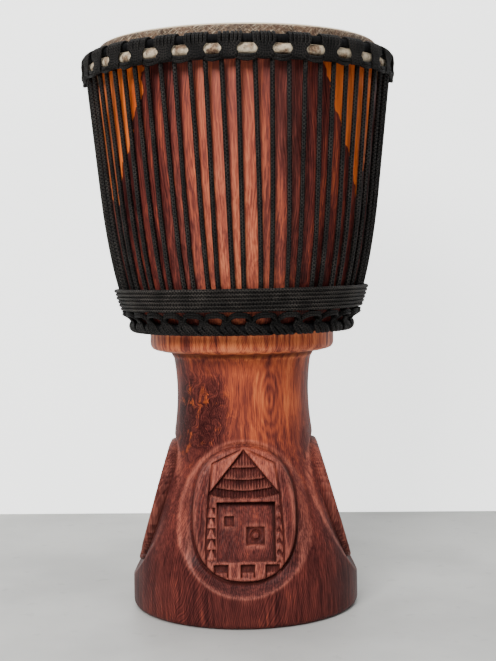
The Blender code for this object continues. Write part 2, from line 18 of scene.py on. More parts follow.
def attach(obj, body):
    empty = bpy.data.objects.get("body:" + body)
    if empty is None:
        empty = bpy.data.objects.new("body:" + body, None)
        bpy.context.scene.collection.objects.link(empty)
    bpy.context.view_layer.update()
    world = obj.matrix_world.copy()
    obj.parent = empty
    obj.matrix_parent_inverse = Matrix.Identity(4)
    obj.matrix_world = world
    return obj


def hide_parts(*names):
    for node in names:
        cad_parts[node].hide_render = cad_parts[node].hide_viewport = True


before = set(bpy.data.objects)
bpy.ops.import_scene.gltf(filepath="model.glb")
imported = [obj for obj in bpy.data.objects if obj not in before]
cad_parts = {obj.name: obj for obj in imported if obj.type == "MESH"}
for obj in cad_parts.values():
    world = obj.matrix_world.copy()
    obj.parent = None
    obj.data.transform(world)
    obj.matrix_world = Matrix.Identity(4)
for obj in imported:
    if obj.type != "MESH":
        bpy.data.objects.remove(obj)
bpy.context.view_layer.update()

Array = np.ndarray
Material = bpy.types.Material
Thing = bpy.types.Object
Pair = tuple[float, float]
Triple = tuple[float, float, float]
Colour = Triple
Box = tuple[float, float, float, float]

LOG = logging.getLogger("goblet_drum")
BODY = "root"
FULL_TURN = 2.0 * math.pi
# Counted angles of ties, and how far from there the real ones sit, in radians
SETTLED_AT = (-1.2, 0.0, 1.05, 5.083185)
SETTLED_BY = (0.085, 0.0, 0.0, 0.085)


def smooth(value: Array) -> Array:
    """Eases a share from 0 to 1 without a corner at either end."""
    share = np.clip(value, 0.0, 1.0)
    return share * share * (3.0 - 2.0 * share)


def within(distance: Array, soft: float) -> Array:
    """Mask of what lies inside an edge, from a signed distance and the width over which the edge fades."""
    return smooth(distance / soft + 0.5)


def pocket(x: Array, y: Array, box: Box, soft: float) -> Array:
    """Mask of an upright rectangle, from its left, right, bottom and top and the width of its walls."""
    left, right, bottom, top = box
    return within(np.minimum(x - left, right - x), soft) * within(np.minimum(y - bottom, top - y), soft)


def near_line(x: Array, y: Array, points: tuple[Pair, ...]) -> Array:
    """Distance of each place to a broken line, up to a metre."""
    least = np.full(np.broadcast(x, y).shape, 1.0)
    for (ax, ay), (bx, by) in zip(points, points[1:]):
        run, rise = bx - ax, by - ay
        share = np.clip(((x - ax) * run + (y - ay) * rise) / (run * run + rise * rise), 0.0, 1.0)
        least = np.minimum(least, np.hypot(x - ax - share * run, y - ay - share * rise))
    return least


def on_ring(angle: Array, radius: Array, height: Array) -> Array:
    """Points round the drum, with angles counted from its front towards +X."""
    return np.stack(np.broadcast_arrays(radius * np.sin(angle), -radius * np.cos(angle), height), axis=-1)


def settled(angle: Array) -> Array:
    """Where evenly counted ties sit: those left of the front were tied a little closer than the rest."""
    counted = np.mod(angle - SETTLED_AT[0], FULL_TURN) + SETTLED_AT[0]
    return angle + np.interp(counted, SETTLED_AT, SETTLED_BY)


def round_the_drum(angle: Array) -> Array:
    """Level directions that run round the drum at some angles."""
    return np.stack([np.cos(angle), np.sin(angle), np.zeros_like(angle)], axis=-1)


def angle_of(points: Array) -> Array:
    """Rising angles round the drum of a row of points."""
    return np.unwrap(np.arctan2(points[:, 0], -points[:, 1]))


def upright(count: int) -> Array:
    """So many directions straight up."""
    return np.tile([0.0, 0.0, 1.0], (count, 1))


class MeshDraft:
    """Points, faces and texture places that are gathered before they become one mesh."""

    def __init__(self) -> None:
        """Starts empty."""
        self.points: list[Array] = []
        self.faces: list[Array] = []
        self.places: list[Array] = []
        self.count = 0

    def add_points(self, points: Array) -> Array:
        """Adds points of any layout and returns their numbers in the same layout."""
        numbers = self.count + np.arange(points[..., 0].size).reshape(points.shape[:-1])
        self.points.append(points.reshape(-1, 3))
        self.count += numbers.size
        return numbers

    def add_faces(self, faces: Array, places: Array | None = None) -> None:
        """Adds faces of one kind, with the texture place of each corner where it matters."""
        self.faces.append(faces)
        self.places.append(np.zeros((*faces.shape, 2)) if places is None else places)

    def add_grid(self, points: Array, loop: bool = False, lengths: Array | None = None) -> Array:
        """Adds a skin over rows of points that each run round to their first point.

        Args:
            points: Rows of points, each row as long as the others.
            loop: Whether the last row runs on to the first.
            lengths: How far along the skin each row lies, with one more entry if it is a loop.

        Returns:
            The points' numbers, in rows.
        """
        numbers = self.add_points(points)
        rows, columns = numbers.shape
        row, column = np.meshgrid(np.arange(rows if loop else rows - 1), np.arange(columns), indexing="ij")
        below, beside = (row + 1) % rows, (column + 1) % columns
        corners = [numbers[row, column], numbers[row, beside], numbers[below, beside], numbers[below, column]]
        faces = np.stack(corners, axis=-1).reshape(-1, 4)
        if lengths is None:
            lengths = np.arange(rows + 1, dtype=float)
        share = np.arange(columns + 1) / columns
        across = np.stack([share[column], share[column + 1], share[column + 1], share[column]], axis=-1)
        along = np.stack([lengths[row], lengths[row], lengths[row + 1], lengths[row + 1]], axis=-1)
        self.add_faces(faces, np.stack([across, along], axis=-1).reshape(-1, 4, 2))
        return numbers

    def zip_rings(self, upper: Array, lower: Array, upper_at: Array, lower_at: Array) -> None:
        """Joins two rings of different counts with triangles.

        Args:
            upper: Numbers of the upper ring's points.
            lower: Numbers of the lower ring's points.
            upper_at: Rising angles of the upper points, within one turn of their first.
            lower_at: Rising angles of the lower points, likewise.
        """
        last_upper, last_lower = len(upper), len(lower)
        upper, lower = np.append(upper, upper[0]), np.append(lower, lower[0])
        upper_at, lower_at = np.append(upper_at, upper_at[0] + FULL_TURN), np.append(lower_at, lower_at[0] + FULL_TURN)
        triangles = []
        i, j = 0, 0
        while i < last_upper or j < last_lower:
            above = j == last_lower or (i < last_upper and upper_at[i + 1] <= lower_at[j + 1])
            triangles.append((upper[i], upper[i + 1] if above else lower[j + 1], lower[j]))
            i, j = (i + 1, j) if above else (i, j + 1)
        self.add_faces(np.array(triangles))

    def add_tube(
        self, path: Array, sideways: Array, width: float, depth: float, sides: int, loop: bool = False
    ) -> None:
        """Adds a strand of rope with an oval section.

        Args:
            path: Points along its middle.
            sideways: A direction at each point that the section's width follows.
            width: Half its width.
            depth: Half its depth.
            sides: Corners of its section.
            loop: Whether it runs round to its start.
        """
        before, after = (path[-1:], path[:1]) if loop else (path[:1], path[-1:])
        run = np.vstack([path[1:], after]) - np.vstack([before, path[:-1]])
        run /= np.linalg.norm(run, axis=1, keepdims=True)
        across = sideways - run * np.sum(sideways * run, axis=1, keepdims=True)
        across /= np.linalg.norm(across, axis=1, keepdims=True)
        outward = np.cross(run, across)
        angle = FULL_TURN * np.arange(sides) / sides
        section = width * np.cos(angle)[:, None] * across[:, None] + depth * np.sin(angle)[:, None] * outward[:, None]
        steps = np.linalg.norm(np.roll(path, -1, axis=0) - path, axis=1)
        lengths = np.concatenate([[0.0], np.cumsum(steps)])
        numbers = self.add_grid(path[:, None] + section, loop, lengths)
        if not loop:
            self.add_ends(numbers)

    def add_ends(self, numbers: Array) -> None:
        """Closes the first and the last of some rows of points."""
        self.add_faces(numbers[:1, ::-1])
        self.add_faces(numbers[-1:])

    def add_hoop(self, angle: Array, radius: Array | float, height: Array | float, section: Pair, sides: int) -> None:
        """Adds a closed strand round the drum.

        Args:
            angle: Angles of its points.
            radius: Their radius.
            height: Their height.
            section: Half its height and half its depth.
            sides: Corners of its section.
        """
        self.add_tube(on_ring(angle, radius, height), upright(len(angle)), *section, sides, loop=True)

    def turn_over(self) -> None:
        """Turns every face over, for a skin whose rows run down and round so that its faces look inwards."""
        self.faces = [faces[:, ::-1] for faces in self.faces]
        self.places = [places[:, ::-1] for places in self.places]

    def build(self, name: str, values: dict[str, Array] | None = None) -> Thing:
        """Makes the mesh.

        Args:
            name: Name of the object.
            values: Values to keep at each point, by name.

        Returns:
            The object, smoothly shaded, with a texture layer.
        """
        mesh = bpy.data.meshes.new(name)
        faces = [face for block in self.faces for face in block.tolist()]
        mesh.from_pydata(np.vstack(self.points).tolist(), [], faces, shade_flat=False)
        layer = mesh.uv_layers.new(name="along")
        layer.data.foreach_set("uv", np.concatenate([block.ravel() for block in self.places]))
        for label, numbers in (values or {}).items():
            store = mesh.attributes.new(label, "FLOAT", "POINT")
            store.data.foreach_set("value", numbers.astype(np.float32))
        obj = bpy.data.objects.new(name, mesh)
        bpy.context.scene.collection.objects.link(obj)
        return obj


def place(piece: Thing, slot: str, finish: Material, *nodes: str) -> Thing:
    """Dresses a piece and puts it on the drum in place of some nodes."""
    piece.data.materials.append(finish)
    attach(piece, BODY)
    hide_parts(*nodes)
    LOG.info("%s: %d points, stands for %s", piece.name, len(piece.data.vertices), ", ".join(nodes))
    return piece


@dataclass(frozen=True)
class LogOutline:
    """The turned outline of the log, with the sizes of its solid."""

    neck_bottom: float = 0.190
    neck_top: float = 0.272
    bowl_bottom: float = 0.298
    shoulder: float = 0.5304
    rim_top: float = 0.5984
    foot_edge: float = 0.006
    foot: float = 0.1225
    foot_widest: float = 0.020
    neck_low: float = 0.0745
    neck_waist: float = 0.0713
    neck_high: float = 0.0750
    collar: float = 0.0995
    belly: float = 0.1500
    rim: float = 0.1483
    throat: float = 0.045
    foot_wall: float = 0.0255
    bowl_wall: float = 0.0160
    rim_wall: float = 0.0140
    bearing_edge: float = 0.005
    bowl_swell: float = 0.49
    bowl_fullness: float = 1.6
    foot_hollow: float = 1.6
    foot_fullness: float = 2.6
    collar_side: tuple[Pair, ...] = (
        (0.0995, 0.2915), (0.0995, 0.2850), (0.0993, 0.2822), (0.0985, 0.2800), (0.0970, 0.2782), (0.0945, 0.2770),
        (0.0880, 0.2754), (0.0800, 0.2742), (0.0776, 0.2734), (0.0768, 0.2722), (0.0763, 0.2708), (0.0752, 0.2692),
    )

    def foot_side(self, height: Array) -> Array:
        """Outside of the foot, up to the neck."""
        share = np.clip((self.neck_bottom - height) / (self.neck_bottom - self.foot_widest), 0.0, 1.0)
        full = 1.0 - (1.0 - share**self.foot_hollow) ** self.foot_fullness
        return self.neck_low + (self.foot - self.neck_low) * full

    def neck_side(self, height: Array) -> Array:
        """Outside of the neck, which narrows to its waist."""
        waist = (self.neck_bottom + self.neck_top) / 2
        end = np.where(height > waist, self.neck_high, self.neck_low)
        share = np.abs(height - waist) / ((self.neck_top - self.neck_bottom) / 2)
        return self.neck_waist + (end - self.neck_waist) * share**2

    def bowl_side(self, height: Array) -> Array:
        """Outside of the bowl."""
        share = np.clip((height - self.bowl_bottom) / (self.shoulder - self.bowl_bottom), 0.0, 1.0)
        swell = (1.0 - (1.0 - share) ** self.bowl_fullness) ** self.bowl_swell
        over = np.clip((height - self.shoulder) / (self.rim_top - self.shoulder), 0.0, 1.0)
        lower = self.collar + (self.belly - self.collar) * swell
        upper = self.rim + (self.belly - self.rim) * (0.5 + 0.5 * np.cos(math.pi * over))
        return np.where(height <= self.shoulder, lower, upper)

    def off_bowl(self, lift: Array, distance: Array) -> tuple[Array, Array]:
        """Radii and heights that lie straight out from the bowl's side at a distance, above lifts from its foot."""
        height = self.bowl_bottom + np.asarray(lift, dtype=float)
        step = 0.0005
        slope = (self.bowl_side(height + step) - self.bowl_side(height - step)) / (2 * step)
        length = np.hypot(1.0, slope)
        return self.bowl_side(height) + distance / length, height - distance * slope / length

    def down_side(self, heights: Array, inwards: float = 0.0) -> list[Pair]:
        """(radius, height) rows along the bowl's side, or so far inside it."""
        return [(float(self.bowl_side(height)) - inwards, height) for height in heights]

    def above_carving(self, lowest: float) -> Array:
        """(radius, height) rows down the outside, from the bearing edge to the top of the carving."""
        edge = self.bearing_edge
        turn = np.radians(np.linspace(90, 0, 5))
        rows = [(self.rim - edge + edge * math.cos(a), self.rim_top - edge + edge * math.sin(a)) for a in turn]
        rows += self.down_side(np.linspace(self.rim_top - 0.012, self.shoulder, 7))
        shares = np.linspace(0.0, 1.0, 34)[1:] ** 1.5
        levels = self.shoulder - (self.shoulder - self.bowl_bottom - 0.0006) * shares
        rows += self.down_side(levels)
        rows += [(self.collar, self.bowl_bottom - 0.0008), *self.collar_side]
        rows += [(float(self.neck_side(z)), z) for z in np.linspace(0.2670, self.neck_bottom, 22)]
        rows.append((float(self.foot_side(lowest)), lowest))
        return np.array(rows)

    def hollow(self) -> Array:
        """(radius, height) rows up the inside, from the foot to the rim."""
        reach = self.foot - self.foot_wall - self.throat
        shares = np.linspace(0.0, 1.0, 12)
        rows = [(self.throat + reach * math.cos(s * math.pi / 2), s * self.neck_bottom) for s in shares]
        rows += [(self.throat, self.neck_top - 0.02), (self.throat, self.neck_top)]
        start = self.bowl_bottom + 0.0093
        rows += self.down_side(np.linspace(start, self.shoulder, 14), self.bowl_wall)
        rows += [(self.rim - self.rim_wall, self.rim_top - 0.002), (self.rim - self.rim_wall + 0.002, self.rim_top)]
        return np.array(rows)


class HutCarving(Enum):
    """How fully a medallion's hut is carved."""

    FULL = "with its window and its hatch"
    PLAIN = "with a bare wall"


@dataclass(frozen=True)
class Medallion:
    """One raised oval on the foot, with a thatched hut cut in its flat field."""

    middle: float = 0.109
    distance: float = 0.0988
    tilt: float = math.radians(15.9)
    half_width: float = 0.0515
    rise: float = 0.0675
    drop: float = 0.0600
    squareness: float = 2.4
    dish_middle: float = 0.1000
    dish_half_width: float = 0.0688
    dish_rise: float = 0.0850
    dish_drop: float = 0.0680
    dish_dip: float = 0.0022
    wall_side: float = 0.0095
    wall_top: float = 0.0022
    wall_foot: float = 0.0060
    wall_run: float = 0.045
    soft: float = 0.0010
    soft_foot: float = 0.0008
    apex: float = 0.0705
    eaves: float = 0.0190
    corner_lift: float = 0.0055
    roof_half_width: float = 0.0370
    tier_edges: tuple[float, ...] = (0.0705, 0.0520, 0.0395, 0.0285, 0.0190)
    tier_cut: float = 0.0014
    tier_step: float = 0.0032
    stroke_pitch: float = 0.0030
    stroke_cut: float = 0.0021
    roof_side_cut: float = 0.0046
    groove_cut: float = 0.0024
    groove_left: tuple[Pair, ...] = (
        (-0.001, 0.0708), (-0.0320, 0.0560), (-0.0357, 0.0255), (-0.0388, -0.0150), (-0.0392, -0.0560),
    )
    groove_right: tuple[Pair, ...] = (
        (0.001, 0.0708), (0.0320, 0.0560), (0.0368, 0.0255), (0.0396, -0.0150), (0.0402, -0.0560),
    )
    wall_box: Box = (-0.0283, 0.0315, -0.0440, 0.0162)
    window_box: Box = (-0.0204, -0.0106, -0.0083, 0.0012)
    hatch_box: Box = (0.0018, 0.0206, -0.0278, -0.0102)
    knob: Pair = (0.0115, -0.0190)
    left_post: Box = (-0.0384, -0.0294, -0.0425, 0.0110)
    left_post_cut: float = 0.0026
    triangles: int = 5
    right_post: Box = (0.0326, 0.0388, -0.0500, 0.0130)
    right_post_cut: float = 0.0024
    twist_pitch: float = 0.0110
    opening_cut: float = 0.0034
    step_sides: tuple[float, ...] = (-0.0241, 0.0029, 0.0281)
    step_box: Box = (-0.0072, 0.0072, -0.0602, -0.0468)
    ledge_box: Box = (-0.0060, 0.0060, -0.0600, -0.0548)
    step_cut: float = 0.0046
    ledge_rise: float = 0.0032
    chisel_cut: float = 0.00012

    def roof_half(self, y: Array) -> Array:
        """Half the width of the roof at each height."""
        high = self.apex - self.eaves - self.corner_lift
        return self.roof_half_width * np.clip((self.apex - y) / high, 0.0, 1.05)

    def roof(self, x: Array, y: Array) -> Array:
        """Depth of the thatched roof, cut in tiers with short upright strokes."""
        level = y - self.corner_lift * (x / self.roof_half_width) ** 2
        inward = self.roof_half(y) - np.abs(x)
        mask = within(inward, self.soft) * within(level - self.eaves, self.soft_foot)
        depth = np.zeros_like(level)
        stroke = 0.5 + 0.5 * np.cos(FULL_TURN * x / self.stroke_pitch)
        for top, low in zip(self.tier_edges, self.tier_edges[1:]):
            share = np.clip((top - level) / (top - low), 0.0, 1.0)
            inside = (level <= top) & (level > low)
            cut = self.tier_cut + self.tier_step * (1 - share) * smooth((top - level) / 0.0015)
            cut += self.stroke_cut * (1 - stroke) * smooth(share * 6.0) * smooth((1 - share) * 12)
            depth = np.where(inside, cut, depth)
        return mask * np.maximum(depth, self.roof_side_cut * smooth((0.0042 - inward) / 0.0022))

    def grooves(self, x: Array, y: Array) -> Array:
        """Depth of the two long cuts that part the hut from the crescents beside it."""
        away = np.minimum(near_line(x, y, self.groove_left), near_line(x, y, self.groove_right))
        return self.groove_cut * smooth((0.0015 - away) / 0.0012)

    def post_notches(self, x: Array, y: Array) -> Array:
        """Mask of what is cut from the left post, so that stacked triangles are left."""
        left, right, bottom, top = self.left_post
        share = np.mod((y - bottom) / ((top - bottom) / self.triangles), 1.0)
        half = 0.5 * (right - left) * (1.12 - 0.95 * share)
        notch = 1.0 - within(half - np.abs(x - (left + right) / 2), self.soft)
        return np.maximum(notch, smooth((0.12 - share) / 0.10))

    def posts(self, x: Array, y: Array) -> Array:
        """Depth of the notched post on the left and the twisted one on the right."""
        cut = self.left_post_cut * self.post_notches(x, y) * pocket(x, y, self.left_post, self.soft_foot)
        left, right, bottom, _ = self.right_post
        sweep = (x - (left + right) / 2) / (right - left)
        turn = (y - bottom) / self.twist_pitch + 0.55 * np.abs(sweep) + 0.25 * sweep
        twist = 0.5 - 0.5 * np.cos(FULL_TURN * turn)
        return cut + self.right_post_cut * twist**2 * pocket(x, y, self.right_post, self.soft_foot)

    def wall(self, x: Array, y: Array) -> Array:
        """Depth of the hut's wall, which lies deepest under the eaves and on the right."""
        left, right, bottom, top = self.wall_box
        share = np.clip((top - y) / (top - bottom), 0.0, 1.0)
        across = np.clip((x - left) / (right - left), 0.0, 1.0)
        slope = 0.0074 - 0.0064 * share**0.55 + 0.0026 * across
        return slope * pocket(x, y, self.wall_box, self.soft)

    def openings(self, x: Array, y: Array) -> Array:
        """Further depth of the window and of the hatch with its knob."""
        cut = self.opening_cut * (pocket(x, y, self.window_box, 0.0009) + pocket(x, y, self.hatch_box, 0.0009))
        reach = np.hypot(x - self.knob[0], y - self.knob[1])
        cut += 0.0018 * smooth((0.0064 - reach) / 0.0010)
        cut -= self.opening_cut * smooth((0.0042 - reach) / 0.0024)
        return cut

    def steps(self, x: Array, y: Array) -> Array:
        """Depth of the three pockets under the wall, each with a ledge at its foot."""
        cut = np.zeros_like(x)
        for side in self.step_sides:
            cut += self.step_cut * pocket(x - side, y, self.step_box, self.soft)
            cut -= self.ledge_rise * pocket(x - side, y, self.ledge_box, self.soft)
        return cut

    def relief(self, x: Array, y: Array, style: HutCarving) -> Array:
        """Depth of all the carving below the field."""
        cuts = (self.roof, self.wall, self.grooves, self.steps, self.posts)
        depth = np.maximum.reduce([cut(x, y) for cut in cuts])
        if style is HutCarving.FULL:
            depth += self.openings(x, y)
        chisel = np.sin(x * 900 + 3 * np.sin(y * 160)) * np.sin(y * 420 + 2 * np.sin(x * 210))
        return depth + self.chisel_cut * chisel

    def dish_share(self, side: Array, height: Array) -> Array:
        """How far each place lies from the middle of the dish, as a share of the way to its edge."""
        up = height - self.dish_middle
        return np.hypot(side / self.dish_half_width, up / np.where(up > 0, self.dish_rise, self.dish_drop))

    def field_share(self, side: Array, height: Array) -> Array:
        """How far each place lies from the middle of the field, as a share of the way to its edge."""
        reach = np.where(height > self.middle, self.rise, self.drop)
        power = self.squareness
        oval = (np.abs(side) / self.half_width) ** power + (np.abs(height - self.middle) / reach) ** power
        return oval ** (1 / power)

    def tint_and_painted_light(self, side: Array, height: Array) -> Array:
        """How much lighter and more red-orange, or if it is below 0 how much darker, each part of the carving is
        painted: partly the wood's own tint and partly painted light, with painted shadow under the eaves and down the
        wall's right side, painted shade in the cove towards the lower right, and a painted highlight, partly rubbed
        wood, along the upper left of the dish's ridge.
        """
        x, y = side, (height - self.middle) / math.cos(self.tilt)
        inward = self.roof_half(y) - np.abs(x)
        edge = np.clip(0.001 + (0.0708 - y) * 2.09, 0.0, 0.0345)
        over = within(y - self.eaves - self.corner_lift, 0.0015)
        leaf = within(-inward, self.soft) * within(edge - np.abs(x), self.soft) * over
        roof = within(inward, self.soft) * within(y - self.eaves, self.soft)
        triangles = (1.0 - self.post_notches(x, y)) * pocket(x, y, self.left_post, self.soft_foot)
        sill = pocket(x, y, (-0.0370, 0.0400, -0.0640, -0.0440), 0.0020) * (1 - smooth(self.steps(x, y) / 0.001))
        inside = within(0.040 - np.abs(x), 0.002) * within(0.046 - np.abs(y), 0.002)
        value = 0.60 * leaf - 0.50 * roof + 1.0 * triangles + 0.40 * sill
        _, right, _, top = self.wall_box
        # Painted shadow under the eaves and down the right side of the hut's wall
        under = 0.85 * smooth((y - top + 0.0075) / 0.0060) + 0.70 * smooth((x - right + 0.0042) / 0.0034)
        value -= (0.02 + under) * pocket(x, y, self.wall_box, 0.001) + 0.10 * inside
        oval, dish = self.field_share(side, height), self.dish_share(side, height)
        up = (height - self.dish_middle) / self.dish_rise
        # A painted highlight along the upper left of the dish's ridge, partly rubbed wood, and painted shade in the
        # cove towards the lower right
        ridge = np.exp(-(((dish - 0.980) / 0.030) ** 2)) * smooth(0.45 + 0.8 * up - 7.0 * side)
        cove = smooth((oval - 1.0) / 0.1) * smooth((1.0 - dish) / 0.1) * smooth(0.5 - 0.9 * up + 4.0 * side)
        return np.clip(value * smooth((1.02 - oval) / 0.06) + 1.1 * ridge - 0.25 * cove, -1.0, 1.0)

    def surface(self, side: Array, height: Array, radius: Array, style: HutCarving) -> Array:
        """Outside of the foot round one medallion.

        Args:
            side: Places sideways from its middle.
            height: Heights.
            radius: Radius of the turned foot at each height.
            style: How fully the hut is carved.

        Returns:
            Distances from the drum's axis, straight out of the medallion.
        """
        turned = np.sqrt(np.maximum(radius**2 - side**2, 0.0))
        up = height - self.middle
        plane = self.distance - up * math.tan(self.tilt)
        half_height = np.where(up > 0, self.rise, self.drop)
        oval, dish = self.field_share(side, height), self.dish_share(side, height)
        upright = np.minimum(1.0, (np.abs(up) / (half_height * np.maximum(oval, 0.2))) ** 1.8)
        end = np.where(up > 0, self.wall_top, self.wall_foot)
        base = plane - (self.wall_side + (end - self.wall_side) * upright)
        inner = np.maximum(oval - 1.0, 0.0) * self.half_width
        outer = np.maximum(1.0 - dish, 0.0) * self.dish_half_width
        share = inner / (inner + outer + 1e-9)
        cove = base + (turned - base) * share - 4 * self.dish_dip * share * (1 - share)
        cove -= 0.0014 * np.exp(-(((oval - 1.055) / 0.020) ** 2))
        around = np.where(dish < 1.0, cove, turned)
        field_side = plane - self.relief(side, up / math.cos(self.tilt), style) / math.cos(self.tilt)
        field_side -= 0.0007 * smooth((oval - 0.965) / 0.035)
        return around + (field_side - around) * smooth((1.0 + self.wall_run - oval) / self.wall_run)


@dataclass
class CarvedLog:
    """The drum's body: one log, turned and hollowed, with four medallions round its foot."""

    outline: LogOutline = field(default_factory=LogOutline)
    medallion: Medallion = field(default_factory=Medallion)
    carving_top: float = 0.1865
    carving_foot: float = 0.030
    carved_rows: int = 166
    fine_half_width: float = 0.0552
    front_spacing: float = 0.0007
    other_spacing: float = 0.0016
    outer_columns: int = 12
    columns: int = 128
    join: float = 0.1880
    worn_bands: tuple[Triple, ...] = ((0.2975, 0.2985, 0.5), (0.2775, 0.2835, 0.7))
    # Bands of painted shadow under the collar's lip, as lower height, upper height and strength
    collar_shadow_bands: tuple[Triple, ...] = ((0.2694, 0.2765, 0.65), (0.2715, 0.2758, 1.0))

    def sector(self, style: HutCarving, spacing: float, azimuth: float) -> tuple[Array, ...]:
        """The quarter of the foot round one medallion.

        Args:
            style: How fully its hut is carved.
            spacing: Width of its finest columns.
            azimuth: Its angle round the drum.

        Returns:
            Rows of points, and at each: how hollow the surface is, which darkens it as painted shade; how sharp it is;
                and its tint with painted light and shade.
        """
        heights = np.linspace(self.carving_top, self.carving_foot, self.carved_rows)[:, None]
        radius = self.outline.foot_side(heights)
        edge = radius / math.sqrt(2)
        count = round(self.fine_half_width / spacing)
        fine = np.arange(-count, count + 1)[None, :] * (self.fine_half_width / count)
        middle = fine * np.minimum(1.0, (edge - 0.002) / self.fine_half_width)
        right = middle[:, -1:] + (edge - middle[:, -1:]) * np.arange(1, self.outer_columns + 1) / self.outer_columns
        side = np.hstack([-right[:, ::-1], middle, right])
        height = np.broadcast_to(heights, side.shape)
        out = self.medallion.surface(side, height, np.broadcast_to(radius, side.shape), style)
        reach = max(2, round(0.0035 / spacing))
        swell = out - self.blurred(out, reach)
        points = np.stack([
            side * math.cos(azimuth) + out * math.sin(azimuth),
            side * math.sin(azimuth) - out * math.cos(azimuth),
            height,
        ], axis=-1)
        shade = np.clip(0.72 + 5.0 * side - 4.0 * (height - self.medallion.middle), 0.35, 1.0)
        near = smooth((1.06 - self.medallion.dish_share(side, height)) / 0.06)
        # Painted shade in the hollows, heavier towards the right and the foot of the medallion
        hollow, crest = np.clip(-swell / 0.0014, 0, 1) * shade * near, np.clip(swell / 0.0010, 0, 1) * near
        tint_and_painted_light = self.medallion.tint_and_painted_light(side, height)
        return points[:, :-1], hollow[:, :-1], crest[:, :-1], tint_and_painted_light[:, :-1]

    @staticmethod
    def blurred(values: Array, reach: int) -> Array:
        """The mean of each value's neighbours, up to so many steps away."""
        for axis in (0, 1):
            padding = [(reach, reach) if i == axis else (0, 0) for i in range(2)]
            padded = np.pad(values, padding, mode="edge")
            total = np.zeros_like(values)
            for step in range(2 * reach + 1):
                total = total + np.take(padded, np.arange(step, step + values.shape[axis]), axis=axis)
            values = total / (2 * reach + 1)
        return values

    @staticmethod
    def lathed(profile: Array, angles: Array) -> Array:
        """Rows of points that turn a profile of (radius, height) pairs."""
        return on_ring(angles[None, :], profile[:, :1], profile[:, 1:])

    def foot_rows(self) -> Array:
        """(radius, height) rows from the foot of the carving down and round the log's lower edge."""
        foot, edge = self.outline.foot, self.outline.foot_edge
        rows = [(foot, height) for height in (0.0240, 0.0160, 0.0100)]
        turn = np.radians(np.linspace(0, -90, 6))
        return np.array(rows + [(foot - edge + edge * math.cos(a), edge + edge * math.sin(a)) for a in turn])

    @staticmethod
    def banded(heights: Array, columns: int, bands: tuple[Triple, ...]) -> Array:
        """Rows of values that are 0 outside of bands, each with its lower and upper height and its value."""
        values = np.zeros((len(heights), columns))
        for low, high, value in bands:
            values[(heights > low) & (heights < high)] = value
        return values

    def build(self, finish: Material) -> Thing:
        """Makes the log in its finish."""
        draft = MeshDraft()
        angles = -math.pi / 4 + FULL_TURN * np.arange(self.columns) / self.columns
        upper = self.lathed(self.outline.above_carving(self.join), angles)
        top = draft.add_grid(upper)

        quarters = [self.sector(HutCarving.FULL, self.front_spacing, 0.0)]
        quarters += [self.sector(HutCarving.PLAIN, self.other_spacing, i * FULL_TURN / 4) for i in (1, 2, 3)]
        carved, hollow, crest, tint_and_painted_light = (np.concatenate(parts, axis=1) for parts in zip(*quarters))
        low = self.lathed(self.foot_rows(), angle_of(carved[-1]))
        ring = draft.add_grid(np.vstack([carved, low]))
        draft.zip_rings(top[-1], ring[0], angles, angle_of(carved[0]))

        inside = draft.add_grid(self.lathed(self.outline.hollow(), angles))
        draft.zip_rings(ring[-1], inside[0], angle_of(carved[-1]), angles)
        draft.add_faces(np.stack([inside[-1], np.roll(inside[-1], -1), np.roll(top[0], -1), top[0]], axis=-1))

        rest = np.zeros(low[..., 0].size + inside.size)
        # The hollow values are painted shade, with the bands of painted shadow under the collar; the tint values also
        # hold painted light and shade
        parts = {"hollow": (self.collar_shadow_bands, hollow), "crest": (self.worn_bands, crest), "tint_and_painted_light": ((), tint_and_painted_light)}
        values = {}
        for name, (bands, part) in parts.items():
            turned = self.banded(upper[:, 0, 2], self.columns, bands)
            values[name] = np.concatenate([turned.ravel(), part.ravel(), rest])
        draft.turn_over()
        return place(draft.build("carved_log", values), "wood", finish, "shell")


